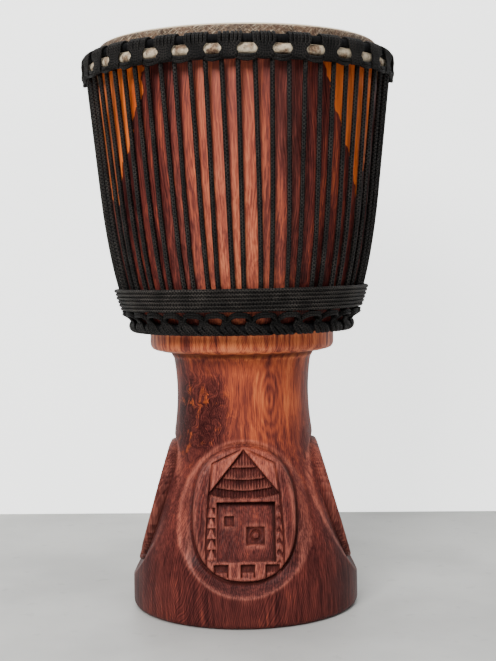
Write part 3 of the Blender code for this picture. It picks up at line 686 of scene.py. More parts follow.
@dataclass(frozen=True)
class CrownSizes:
    """Where the skin's roll, the rings and the cords lie round the bowl, as their solids have them."""

    outline: LogOutline = field(default_factory=LogOutline)
    gap: float = 0.0004
    skin: float = 0.0012
    roll_radius: float = 0.0052
    roll_reach: float = 0.0042
    roll_drop: float = 0.0273
    ring_radius: float = 0.0043
    ring_outset: float = 0.0008
    rope: float = 0.0025
    loops: int = 30
    first_loop: float = math.radians(3.3)
    twist: float = math.radians(2.0)
    lacing_outset: float = 0.0012
    top_spread: float = math.radians(3.0)
    bottom_spread: float = math.radians(2.4)
    bottom_ring_lift: float = 0.0080
    bottom_swag_lift: float = 0.0145
    bottom_swag_rise: float = 0.0045
    bottom_swag_height: float = 0.0050
    wrap_lift: float = 0.0276
    wrap_pitch: float = 0.0037
    wrap_turns: int = 6
    laced_share: float = 0.66

    @property
    def head_top(self) -> float:
        """Height of the playing surface."""
        return self.outline.rim_top + self.gap + self.skin

    @property
    def roll_height(self) -> float:
        """Height of the middle of the skin's roll."""
        return self.head_top - self.roll_drop

    @property
    def roll_top(self) -> float:
        """Height of the top of the skin's roll."""
        return self.roll_height + self.roll_radius

    @property
    def skin_at_roll(self) -> float:
        """Radius of the skin's inner side at its roll."""
        span = self.outline.rim_top - self.outline.bearing_edge - self.outline.shoulder
        share = (self.roll_height - self.roll_radius - self.outline.shoulder) / span
        return self.outline.belly + (self.outline.rim - self.outline.belly) * share + self.gap

    @property
    def roll_centre(self) -> float:
        """Radius of the middle of the skin's roll."""
        return self.skin_at_roll + self.roll_reach + self.roll_radius

    @property
    def crown_ring(self) -> Pair:
        """(radius, height) of the upper ring."""
        return self.roll_centre + self.ring_outset, self.roll_top + self.gap + self.ring_radius

    @property
    def bottom_ring(self) -> Pair:
        """(radius, height) of the lower ring."""
        radius, height = self.outline.off_bowl(self.bottom_ring_lift, self.ring_radius + self.gap)
        return float(radius), float(height)

    @property
    def lacing_turn(self) -> Pair:
        """(radius, height) where the lacing turns at the crown."""
        return self.roll_centre + self.lacing_outset, self.roll_height - self.roll_radius - self.gap - self.rope

    @property
    def bottom_turn_lift(self) -> float:
        """Height above the bowl's foot where the lacing turns below."""
        crest = self.bottom_swag_lift + self.bottom_swag_rise
        return crest + self.bottom_swag_height / 2 + self.gap + self.rope

    @property
    def bottom_phase(self) -> float:
        """Angle of the first loop of lacing at the lower ring."""
        return self.first_loop + math.pi / self.loops + self.twist

    def hitch_angles(self, phase: float) -> Array:
        """Angles of the hitches, halfway between loops."""
        return phase + (np.arange(self.loops) - 0.5) * FULL_TURN / self.loops


@dataclass
class RawhideHead:
    """The skin, drawn over the rim and down, and rolled round its flesh hoop, which swells between hitches."""

    sizes: CrownSizes = field(default_factory=CrownSizes)
    columns: int = 360
    pinch: float = 0.0014
    hole: float = 0.012

    def profile(self) -> Array:
        """(radius, height, share of the pinch) rows over the top, round the roll and back under the top."""
        sizes = self.sizes
        inner = sizes.outline.rim + sizes.gap
        outer = inner + sizes.skin
        rounding = sizes.outline.bearing_edge + sizes.skin
        start, under = sizes.head_top - rounding, sizes.outline.rim_top + sizes.gap
        rows = [(radius, sizes.head_top, 0.0) for radius in np.linspace(self.hole, outer - rounding - 0.002, 14)]
        for turn in np.radians(np.linspace(90, 0, 8)):
            rows.append((outer - rounding + rounding * math.cos(turn), start + rounding * math.sin(turn), 0.0))
        end = sizes.skin_at_roll + sizes.skin
        for share in (0.35, 0.7):
            rows.append((outer + (end - outer) * share, start + (sizes.roll_top - start) * share, 0.0))
        for turn in np.radians(np.linspace(128, -162, 22)):
            across, up = sizes.roll_radius * math.cos(turn), sizes.roll_radius * math.sin(turn)
            rows.append((sizes.roll_centre + across, sizes.roll_height + up, max(0.0, math.cos(turn))))
        rows += [(sizes.skin_at_roll, sizes.roll_height, 0.0), (inner, sizes.outline.rim_top - 0.005, 0.0)]
        return np.array(rows + [(inner - 0.005, under, 0.0), (self.hole, under, 0.0)])

    def build(self, finish: Material) -> Thing:
        """Makes the head in its finish."""
        sizes, profile = self.sizes, self.profile()
        counted = FULL_TURN * np.arange(self.columns) / self.columns
        angle = settled(counted)
        tight = (0.5 - 0.5 * np.cos((counted - sizes.first_loop) * sizes.loops)) ** 2
        pucker = 0.00025 * np.sin(angle * 157 + 2 * np.sin(angle * 31)) * (1 - tight)
        radius = profile[:, :1] - profile[:, 2:] * (self.pinch * tight + pucker)
        side = (profile[:, 1] > sizes.roll_top + 0.002) & (profile[:, 1] < sizes.head_top - 0.0005)
        ripple = 0.00018 * np.sin(angle * 73 + 1.7 * np.sin(angle * 11))
        radius = radius - (side & (profile[:, 2] == 0))[:, None] * (0.0002 + ripple)
        draft = MeshDraft()
        draft.add_ends(draft.add_grid(on_ring(angle[None, :], radius, profile[:, 1:2])))
        draft.turn_over()
        values = {"tight": np.broadcast_to(tight, radius.shape).ravel()}
        return place(draft.build("rawhide_head", values), "rawhide", finish, "drumhead")


@dataclass
class WoundRing:
    """An iron ring, closely wound with black cloth."""

    name: str
    node: str
    centre: Pair
    radius: float = 0.0043
    columns: int = 240
    sides: int = 14

    def build(self, finish: Material) -> Thing:
        """Makes the ring in its finish."""
        draft = MeshDraft()
        angle = FULL_TURN * np.arange(self.columns) / self.columns
        draft.add_hoop(angle, *self.centre, (self.radius, self.radius), self.sides)
        return place(draft.build(self.name), "cloth", finish, self.node)


@dataclass
class Hitches:
    """A cord on one ring: hitches of several strands, and a swag of two strands from each to the next."""

    strands: int
    strand_pitch: float
    looseness: float
    half_width: float
    half_depth: float
    steps_per_loop: int
    swag_lift: float
    swag_section: Pair
    sizes: CrownSizes = field(default_factory=CrownSizes)

    def shift(self, strand: int, rng: np.random.Generator) -> float:
        """How far aside one strand of a hitch lies."""
        even = (strand - (self.strands - 1) / 2) * self.strand_pitch
        return even + rng.uniform(-self.looseness, self.looseness)

    def add_strand(self, draft: MeshDraft, rows: Array, at: Array) -> None:
        """Adds one strand of a hitch, along (radius, height) rows at some angles."""
        path = on_ring(at, rows[:, 0], rows[:, 1])
        draft.add_tube(path, round_the_drum(at), self.half_width, self.half_depth, 8)

    def swag_angles(self, phase: float) -> Array:
        """Counted angles of the swags' points."""
        count = self.sizes.loops * self.steps_per_loop
        return phase + FULL_TURN * np.arange(count) / count

    def add_swag(self, draft: MeshDraft, at: Array, radius: Array, height: Array) -> None:
        """Adds one strand of all the swags."""
        draft.add_hoop(settled(at), radius, height, self.swag_section, 10)


@dataclass
class CrownHitches(Hitches):
    """The cord on the upper ring, whose broad hitches fan out over the ring."""

    strands: int = 6
    strand_pitch: float = 0.0021
    looseness: float = 0.0002
    half_width: float = 0.00175
    half_depth: float = 0.0012
    steps_per_loop: int = 12
    swag_lift: float = 0.0017
    swag_section: Pair = (0.0017, 0.0018)
    fan: float = 0.86
    lean: float = 0.0008
    down_the_roll: tuple[Pair, ...] = (
        (0.1665, 0.5785), (0.1660, 0.5745), (0.1659, 0.5710), (0.1664, 0.5680), (0.1662, 0.5658),
    )
    tucked_end: tuple[Pair, ...] = ((0.1652, 0.5642), (0.1636, 0.5635), (0.1622, 0.5634))

    def hitch_path(self) -> Array:
        """(radius, height) rows of one strand over the ring, down over the skin's roll and under the swag."""
        radius, height = self.sizes.crown_ring
        turn = np.linspace(155, -10, 12)
        reach = self.sizes.ring_radius + self.half_depth + 0.0001 + 0.0011 * smooth((70 - turn) / 80)
        turn = np.radians(turn)
        over = np.stack([radius + reach * np.cos(turn), height + reach * np.sin(turn)], axis=1)
        return np.vstack([over, self.down_the_roll, self.tucked_end])

    def build(self, finish: Material) -> Thing:
        """Makes the hitches and swags in their finish."""
        rng = np.random.default_rng(4)
        draft = MeshDraft()
        sizes, rows = self.sizes, self.hitch_path()
        level = rows[:, 1]
        spread = 1.0 + self.fan * smooth((level - 0.5728) / 0.0062) + 0.42 * smooth((0.5720 - level) / 0.0045)
        spread -= 0.62 * smooth((0.5668 - level) / 0.0030)
        for angle in sizes.hitch_angles(sizes.first_loop):
            lean = rng.uniform(-self.lean, self.lean) * (level - 0.5725) / 0.01
            for strand in range(self.strands):
                aside = self.shift(strand, rng) * spread + lean
                self.add_strand(draft, rows, settled(angle) + aside / rows[:, 0])
        at = self.swag_angles(sizes.first_loop)
        middle = 0.5 + 0.5 * np.cos((at - sizes.first_loop) * sizes.loops)
        for row, lift in enumerate((self.swag_lift, -self.swag_lift)):
            height = 0.5670 - 0.0038 * middle + lift * (0.60 + 0.40 * middle)
            self.add_swag(draft, at, 0.1624 + 0.0030 * middle - 0.0002 * row, height)
        return place(draft.build("crown_knots"), "rope", finish, "crown_hitches")


@dataclass
class BottomHitches(Hitches):
    """The cord on the lower ring, whose strands slant and whose swags arch up under the lacing's turns."""

    strands: int = 3
    strand_pitch: float = 0.0072
    looseness: float = 0.0004
    half_width: float = 0.0025
    half_depth: float = 0.0013
    steps_per_loop: int = 16
    swag_lift: float = 0.0014
    swag_section: Pair = (0.0015, 0.0018)
    slant: float = 0.165
    crest: Pair = (0.1283, 0.3174)
    knot_distance: float = 0.0036

    def build(self, finish: Material) -> Thing:
        """Makes the hitches and swags in their finish."""
        rng = np.random.default_rng(9)
        draft = MeshDraft()
        sizes = self.sizes
        ring_radius, ring_height = sizes.bottom_ring
        knot = [float(v) for v in sizes.outline.off_bowl(sizes.bottom_swag_lift, self.knot_distance)]
        reach = sizes.ring_radius + self.half_depth + 0.0001
        turn = np.radians(np.linspace(-165, 50, 16))
        over = np.stack([ring_radius + reach * np.cos(turn), ring_height + reach * np.sin(turn)], axis=1)
        rows = np.vstack([over, np.add(knot, [(0.0018, -0.0008), (0.0020, 0.0010), (0.0006, 0.0030)])])
        share = np.clip(np.arange(len(rows)) / (len(over) - 1), 0.0, 1.0)
        gather = 1.0 - 0.68 * smooth((rows[:, 1] - ring_height) / 0.0065)
        slanted = self.slant * (1.0 - share) ** 1.2 - 0.012
        for angle in sizes.hitch_angles(sizes.bottom_phase):
            for strand in range(self.strands):
                aside = self.shift(strand, rng) * gather
                self.add_strand(draft, rows, settled(angle) + slanted + aside / rows[:, 0])
        at = self.swag_angles(sizes.bottom_phase)
        away = np.abs(np.mod((at - sizes.bottom_phase) * sizes.loops + math.pi, FULL_TURN) - math.pi) / math.pi
        arch = 1.0 - away**3.5
        for lift in (self.swag_lift, -self.swag_lift):
            radius = knot[0] + (self.crest[0] - knot[0]) * arch - 0.0004
            self.add_swag(draft, at, radius, knot[1] + (self.crest[1] - knot[1]) * arch + lift)
        return place(draft.build("bottom_knots"), "rope", finish, "bottom_hitches")


@dataclass
class Lacing:
    """The one long rope that draws the rings together, down a leg, round a swag, and up the next."""

    sizes: CrownSizes = field(default_factory=CrownSizes)
    free_points: int = 7
    laced_points: int = 15
    sides: int = 8

    def leg(self) -> Array:
        """(radius, height) rows of a leg from the crown down: straight to the bowl, and then along it."""
        sizes = self.sizes
        clear = sizes.rope + sizes.gap
        rise = sizes.outline.shoulder - sizes.outline.bowl_bottom
        lifts = np.linspace(sizes.laced_share * rise, sizes.bottom_turn_lift, self.laced_points)
        radius, height = sizes.outline.off_bowl(lifts, clear)
        share = np.linspace(0.0, 1.0, self.free_points)[:-1]
        free_radius = sizes.lacing_turn[0] + (radius[0] - sizes.lacing_turn[0]) * share
        free_height = sizes.lacing_turn[1] + (height[0] - sizes.lacing_turn[1]) * share
        return np.stack([np.append(free_radius, radius), np.append(free_height, height)], axis=1)

    def turn(self, middle: float, spread: float, shares: Triple, end: Array, sag: float) -> Array:
        """The short turn round a swag, from one leg to the next.

        Args:
            middle: Counted angle of its middle.
            spread: Half the angle between the legs.
            shares: Where its points lie between the legs.
            end: Radius and height of the legs' ends.
            sag: How much higher its middle is.

        Returns:
            Its points.
        """
        share = np.array(shares)
        at = settled(middle + spread * (2 * share - 1))
        return on_ring(at, end[0], end[1] + sag * np.sin(math.pi * share))

    def build(self, finish: Material) -> Thing:
        """Makes the lacing in its finish."""
        sizes = self.sizes
        rng = np.random.default_rng(12)
        rows = self.leg()
        share = (rows[0, 1] - rows[:, 1]) / (rows[0, 1] - rows[-1, 1])
        pitch = FULL_TURN / sizes.loops
        path, sideways = [], []
        # Each loop's left leg runs down and its right one up
        for loop in range(sizes.loops):
            top_middle = sizes.first_loop + loop * pitch
            bottom_middle = top_middle + pitch / 2 + sizes.twist
            for side in (-1, 1):
                top = top_middle + pitch / 2 + side * (pitch / 2 - sizes.top_spread) + rng.uniform(-0.002, 0.002)
                bottom = bottom_middle + side * sizes.bottom_spread + rng.uniform(-0.004, 0.004)
                at = settled(top) + (settled(bottom) - settled(top)) * share
                path.append(on_ring(at, rows[:, 0], rows[:, 1])[::-side])
                sideways.append((round_the_drum(at) * -side)[::-side])
                if side < 0:
                    path.append(self.turn(bottom_middle, sizes.bottom_spread, (0.3, 0.5, 0.7), rows[-1], -0.0008))
                else:
                    path.append(self.turn(top_middle + pitch, sizes.top_spread, (0.25, 0.5, 0.75), rows[0], 0.0004))
                sideways.append(upright(3) * side)
        draft = MeshDraft()
        draft.add_tube(np.vstack(path), np.vstack(sideways), sizes.rope, sizes.rope, self.sides, loop=True)
        return place(draft.build("rope_lacing"), "rope", finish, "lacing")


@dataclass
class WaistWrap:
    """The rope's spare length, wound in close turns over the foot of the lacing."""

    sizes: CrownSizes = field(default_factory=CrownSizes)
    points_per_turn: int = 150
    half_height: float = 0.00200
    half_depth: float = 0.0024

    def build(self, finish: Material) -> Thing:
        """Makes the wrap in its finish."""
        sizes = self.sizes
        count = sizes.wrap_turns * self.points_per_turn + 1
        turn = np.linspace(0.0, sizes.wrap_turns, count)
        lift = sizes.wrap_lift + (turn - 0.5) * sizes.wrap_pitch
        tuck = smooth((0.04 - np.minimum(turn, sizes.wrap_turns - turn)) / 0.04)
        wobble = 0.00015 * np.sin(turn * 41.0) + 0.0001 * np.sin(turn * 97.0)
        distance = 2 * (sizes.rope + sizes.gap) + self.half_depth - 0.0022 * tuck + wobble
        radius, height = sizes.outline.off_bowl(lift, distance)
        path = on_ring(math.pi + turn * FULL_TURN, radius, height)
        draft = MeshDraft()
        draft.add_tube(path, upright(count), self.half_height, self.half_depth, 10)
        return place(draft.build("rope_wrap"), "rope", finish, "waist_wrap")


def step_of(operation: str, turned: bool = False) -> Callable[["Wire", object], "Wire"]:
    """Makes one sign of arithmetic for wires.

    Args:
        operation: The step that the sign stands for.
        turned: Whether the wire stands after the sign.

    Returns:
        The method that adds the step to the wire's tree.
    """

    def sign(self: "Wire", other: object) -> "Wire":
        """Adds the step."""
        return self.bench.math(operation, *((other, self) if turned else (self, other)))

    return sign


@dataclass(frozen=True)
class Wire:
    """A value in a node tree, which adds nodes to the tree when it is reckoned with like a number."""

    bench: "NodeBench"
    socket: bpy.types.NodeSocket

    __add__ = step_of("ADD")
    __radd__ = step_of("ADD", turned=True)
    __sub__ = step_of("SUBTRACT")
    __rsub__ = step_of("SUBTRACT", turned=True)
    __mul__ = step_of("MULTIPLY")
    __rmul__ = step_of("MULTIPLY", turned=True)
    __truediv__ = step_of("DIVIDE")
    __rtruediv__ = step_of("DIVIDE", turned=True)
    __pow__ = step_of("POWER")

    def __abs__(self) -> "Wire":
        """Gives the value without its sign."""
        return self.bench.math("ABSOLUTE", self)


class NodeBench:
    """A node tree, with short ways to add its nodes and to join them."""

    def __init__(self, tree: bpy.types.NodeTree) -> None:
        """Takes the tree to work on."""
        self.tree = tree

    def add(self, kind: str, **settings: object) -> bpy.types.Node:
        """Adds a node of a kind, with its settings."""
        node = self.tree.nodes.new(kind)
        for name, value in settings.items():
            setattr(node, name, value)
        return node

    def feed(self, node: bpy.types.Node, values: dict[str | int, object]) -> None:
        """Feeds a node's inputs with wires or with plain values. A plain colour gets its alpha here."""
        for name, value in values.items():
            target = node.inputs[name]
            if isinstance(value, Wire):
                self.tree.links.new(value.socket, target)
            elif target.type == "RGBA":
                target.default_value = (*value, 1.0)
            else:
                target.default_value = value

    def wires(self, node: bpy.types.Node) -> dict[str, Wire]:
        """A node's outputs, by name."""
        return {socket.name: Wire(self, socket) for socket in node.outputs}

    def make(self, kind: str, values: dict[str | int, object], out: int = 0, **settings: object) -> Wire:
        """Adds a node and feeds it.

        Args:
            kind: Its kind.
            values: What its inputs get, by name or number.
            out: Number of the output that is wanted.
            settings: Its settings.

        Returns:
            The output.
        """
        node = self.add(kind, **settings)
        self.feed(node, values)
        return Wire(self, node.outputs[out])

    def math(self, operation: str, *values: Wire | float) -> Wire:
        """Works out one step of arithmetic."""
        return self.make("ShaderNodeMath", dict(enumerate(values)), operation=operation)

    def larger(self, first: Wire, second: Wire | float) -> Wire:
        """The larger of two values."""
        return self.math("MAXIMUM", first, second)

    def sine(self, value: Wire) -> Wire:
        """The sine of a value."""
        return self.math("SINE", value)

    def places(self) -> Wire:
        """Where each point lies on the drum."""
        return self.wires(self.add("ShaderNodeTexCoord"))["Object"]

    def parts(self, vector: Wire) -> list[Wire]:
        """The three parts of a vector."""
        node = self.add("ShaderNodeSeparateXYZ")
        self.feed(node, {0: vector})
        return list(self.wires(node).values())

    def round_and_up(self, where: Wire) -> tuple[Wire, Wire]:
        """Angle round the drum, counted from its front towards +X, and height."""
        x, y, height = self.parts(where)
        return self.math("ARCTAN2", x, y * -1.0), height

    def kept(self, name: str) -> Wire:
        """A value that the mesh keeps at its points."""
        return self.wires(self.add("ShaderNodeAttribute", attribute_name=name))["Fac"]

    def band(self, value: Wire, low: float, high: float, ends: Pair = (0.0, 1.0)) -> Wire:
        """Eases from one end value to the other while a value crosses a band."""
        limits = {"From Min": low, "From Max": high, "To Min": ends[0], "To Max": ends[1]}
        return self.make("ShaderNodeMapRange", {"Value": value, **limits}, interpolation_type="SMOOTHSTEP")

    def mix(self, share: Wire, first: Wire | Colour, second: Wire | Colour) -> Wire:
        """Mixes two colours."""
        return self.make("ShaderNodeMix", {0: share, 6: first, 7: second}, 2, data_type="RGBA")

    def ramp(self, value: Wire, stops: list[tuple[float, Colour]]) -> Wire:
        """Turns a value into a colour along a row of stops."""
        node = self.add("ShaderNodeValToRGB")
        row = node.color_ramp.elements
        while len(row) < len(stops):
            row.new(0.5)
        for element, (position, colour) in zip(row, stops):
            element.position = position
            element.color = (*colour, 1.0)
        self.feed(node, {0: value})
        return Wire(self, node.outputs[0])

    def drawn_out(self, where: Wire, upright: float) -> Wire:
        """Places whose pattern is drawn out along the drum's height."""
        return self.make("ShaderNodeMapping", {"Vector": where, "Scale": (1.0, 1.0, upright)})

    def noise(self, where: Wire, scale: Wire | float, detail: float = 3.0, rough: float = 0.55, warp: float = 0.0,
              out: int = 0) -> Wire:
        """Soft random values over the surface.

        Args:
            where: Places on the surface.
            scale: How fine the pattern is.
            detail: How many finer layers it has.
            rough: How strong the finer layers are.
            warp: How much it is twisted.
            out: 0 for values, 1 for colours.

        Returns:
            The values or colours.
        """
        values = {"Vector": where, "Scale": scale, "Detail": detail, "Roughness": rough, "Distortion": warp}
        return self.make("ShaderNodeTexNoise", values, out)

    def slanted(self, across: Wire, up: Wire, angle: float, scale: Pair) -> Wire:
        """Soft random strokes over two measures of the surface.

        Args:
            across: Distance round the surface at each place.
            up: Height at each place.
            angle: How far the strokes lean.
            scale: How finely they vary along and across themselves.

        Returns:
            The values.
        """
        turns = (angle, angle + math.pi / 2)
        pair = [(across * math.cos(turn) + up * math.sin(turn)) * fine for turn, fine in zip(turns, scale)]
        return self.noise(self.make("ShaderNodeCombineXYZ", dict(enumerate(pair))), 1.0, 2.0)

    def bump(self, height: Wire, distance: float, strength: float) -> Wire:
        """Turns a height into a normal."""
        return self.make("ShaderNodeBump", {"Strength": strength, "Distance": distance, "Height": height})

    def group(self, tree: bpy.types.NodeTree, *values: float) -> dict[str, Wire]:
        """Places a shared effect with its own values, and gives its outputs by name."""
        node = self.add("ShaderNodeGroup", node_tree=tree)
        self.feed(node, dict(enumerate(values)))
        return self.wires(node)


@dataclass
class SharedEffect:
    """A node group that several finishes share."""

    name: str
    takes: dict[str, float]
    bench: NodeBench = field(init=False)
    given: dict[str, Wire] = field(init=False)

    def __post_init__(self) -> None:
        """Makes the group with its number inputs, each with its default."""
        self.bench = NodeBench(bpy.data.node_groups.new(self.name, "ShaderNodeTree"))
        for label, value in self.takes.items():
            self.new_socket(label, "INPUT").default_value = value
        self.given = self.bench.wires(self.bench.add("NodeGroupInput"))

    def new_socket(self, label: str, side: str) -> bpy.types.NodeTreeInterfaceSocket:
        """Makes one input or output of the group."""
        return self.bench.tree.interface.new_socket(name=label, in_out=side, socket_type="NodeSocketFloat")

    def give(self, **results: Wire) -> bpy.types.NodeTree:
        """Makes the group's outputs, and returns its finished tree."""
        for label in results:
            self.new_socket(label, "OUTPUT")
        self.bench.feed(self.bench.add("NodeGroupOutput"), results)
        return self.bench.tree


def braided_strands() -> bpy.types.NodeTree:
    """Strands that cross over and under each other along a cord."""
    effect = SharedEffect("braided_strands", {"Strands": 4.0, "Pitch": 0.004})
    bench = effect.bench
    across, length, _ = bench.parts(bench.make("ShaderNodeUVMap", {}, uv_map="along"))
    around, along = across * effect.given["Strands"], length / effect.given["Pitch"]
    ridges = [1.0 - abs(bench.math("FRACT", lean) - 0.5) * 2.0 for lean in (along + around, along - around)]
    over = bench.band(bench.sine(around * FULL_TURN) * bench.sine(along * FULL_TURN), -0.25, 0.25)
    height = bench.larger(ridges[0] * over, ridges[1] * (1.0 - over))
    return effect.give(Height=height, Gap=bench.band(height, 0.45, 0.15), Glint=bench.band(height, 0.80, 1.0))


def handling_marks() -> bpy.types.NodeTree:
    """Smears and specks that handling leaves on any surface."""
    effect = SharedEffect("handling_marks", {"Size": 0.05, "Speck Size": 0.003})
    bench = effect.bench
    where = bench.places()
    smear, speck = (bench.noise(where, 1.0 / effect.given[size], 4.0, 0.5) for size in ("Size", "Speck Size"))
    return effect.give(Smear=bench.band(smear, 0.35, 0.70), Speck=bench.band(speck, 0.62, 0.72))


@dataclass(frozen=True)
class SharedEffects:
    """The node groups that the finishes share."""

    braid: bpy.types.NodeTree
    marks: bpy.types.NodeTree


class Finish:
    """A material, with a bench to work on its nodes."""

    def __init__(self, name: str) -> None:
        """Starts the material."""
        self.material = bpy.data.materials.new(name)
        self.material.use_nodes = True
        self.bench = NodeBench(self.material.node_tree)

    def done(self, **values: object) -> Material:
        """Feeds the main shader, whose inputs are named with _ for a blank, and returns the material."""
        shader = self.bench.tree.nodes["Principled BSDF"]
        self.bench.feed(shader, {name.replace("_", " "): value for name, value in values.items()})
        return self.material


class LogGrain:
    """The figure of the wood, at each place on the log, which its colours and its relief are made from."""

    burl_at: tuple[Pair, Pair] = ((-0.72, 0.212), (0.62, 0.055))
    knot_at: tuple[Pair, Pair] = ((0.40, 0.226), (0.27, 0.046))
    line_counts: Pair = (300.0, 470.0)
    foot_height: float = 0.185
    foot_sweep: float = 2600.0

    def __init__(self, bench: NodeBench) -> None:
        """Works out the places, the noises and the lines."""
        self.bench = bench
        where = bench.places()
        self.azimuth, self.height = bench.round_and_up(where)

        # The burl on the left of the neck, and the oval figure on its right
        self.burl = bench.band(self.spot(*self.burl_at), 1.15, 0.45)
        knot = self.spot(*self.knot_at)
        self.figure = bench.band(knot, 1.5, 0.7)

        swirl = bench.noise(where, 42.0, 2.0, 0.5, out=1)
        push = bench.make("ShaderNodeVectorMath", {0: swirl, 1: (0.5, 0.5, 0.5)}, operation="SUBTRACT")
        shift = bench.make("ShaderNodeVectorMath", {0: push, "Scale": 0.004 + self.burl * 0.060}, operation="SCALE")
        grained = bench.make("ShaderNodeVectorMath", {0: where, 1: shift}, operation="ADD")
        stretch = bench.drawn_out(grained, 0.07)
        self.fine = bench.noise(stretch, 620.0, 3.0, 0.6)
        self.streak = bench.noise(stretch, 150.0, 4.0, 0.62, 0.3)
        self.broad = bench.noise(bench.drawn_out(grained, 0.16), 34.0, 3.0, 0.5, 0.4)
        rolling = bench.noise(bench.drawn_out(where, 0.45), 17.0, 2.0, 0.45)
        self.curl = bench.noise(where, 75.0, 2.0, 0.5)

        bend = rolling * bench.band(self.height, 0.300, 0.270, (55.0, 105.0)) + self.curl * self.burl * 42.0
        low = bench.larger(self.foot_height - self.height, 0.0)
        bend = bend + low * low * self.foot_sweep
        sharp = bench.sine(self.azimuth * self.line_counts[0] + bend)
        self.close = bench.sine(self.azimuth * self.line_counts[1] + bend * 1.7)
        rings = bench.sine(knot * 22.0 + self.broad * 12.0)
        self.lines = bench.mix(self.figure * 0.55, sharp, rings)

        self.away = abs(self.azimuth + 0.03)
        self.collar = self.between(0.266, 0.276, 0.297, 0.303)
        self.bowl = bench.band(self.height, 0.300, 0.312)
        # Values kept by the mesh: hollows that darken as painted shade, sharp edges, and a tint that holds painted
        # light and shade
        self.hollow, self.crest, self.tint_and_painted_light = (bench.kept(name) for name in ("hollow", "crest", "tint_and_painted_light"))
        self.warm_tint_and_highlight = bench.larger(self.tint_and_painted_light, 0.0)

    def spot(self, middle: Pair, size: Pair) -> Wire:
        """Distance from a place on the log, as a share of an oval round it."""
        across, upright = (self.azimuth - middle[0]) / size[0], (self.height - middle[1]) / size[1]
        return self.bench.math("SQRT", across * across + upright * upright)

    def between(self, low: float, low_full: float, high_full: float, high: float) -> Wire:
        """Mask of a range of heights, full between its two middle ones."""
        return self.bench.band(self.height, low, low_full) * self.bench.band(self.height, high, high_full)

    def tongue(self, azimuth: Wire, left: float, right: float, tip: float, foot: float) -> Wire:
        """Mask of one tongue of sapwood, which narrows downwards.

        Args:
            azimuth: Angle round the drum at each place, made wavy.
            left: Left angle at the rim.
            right: Right angle at the rim.
            tip: Angle of the tip.
            foot: Height of the tip.

        Returns:
            The mask.
        """
        bench = self.bench
        up = bench.band(self.height, foot, 0.585) ** 0.75
        first = bench.band(azimuth - (tip + up * (left - tip)), -0.03, 0.03)
        second = bench.band(tip + up * (right - tip) - azimuth, -0.03, 0.03)
        return first * second * bench.band(self.height, foot - 0.004, foot + 0.012)


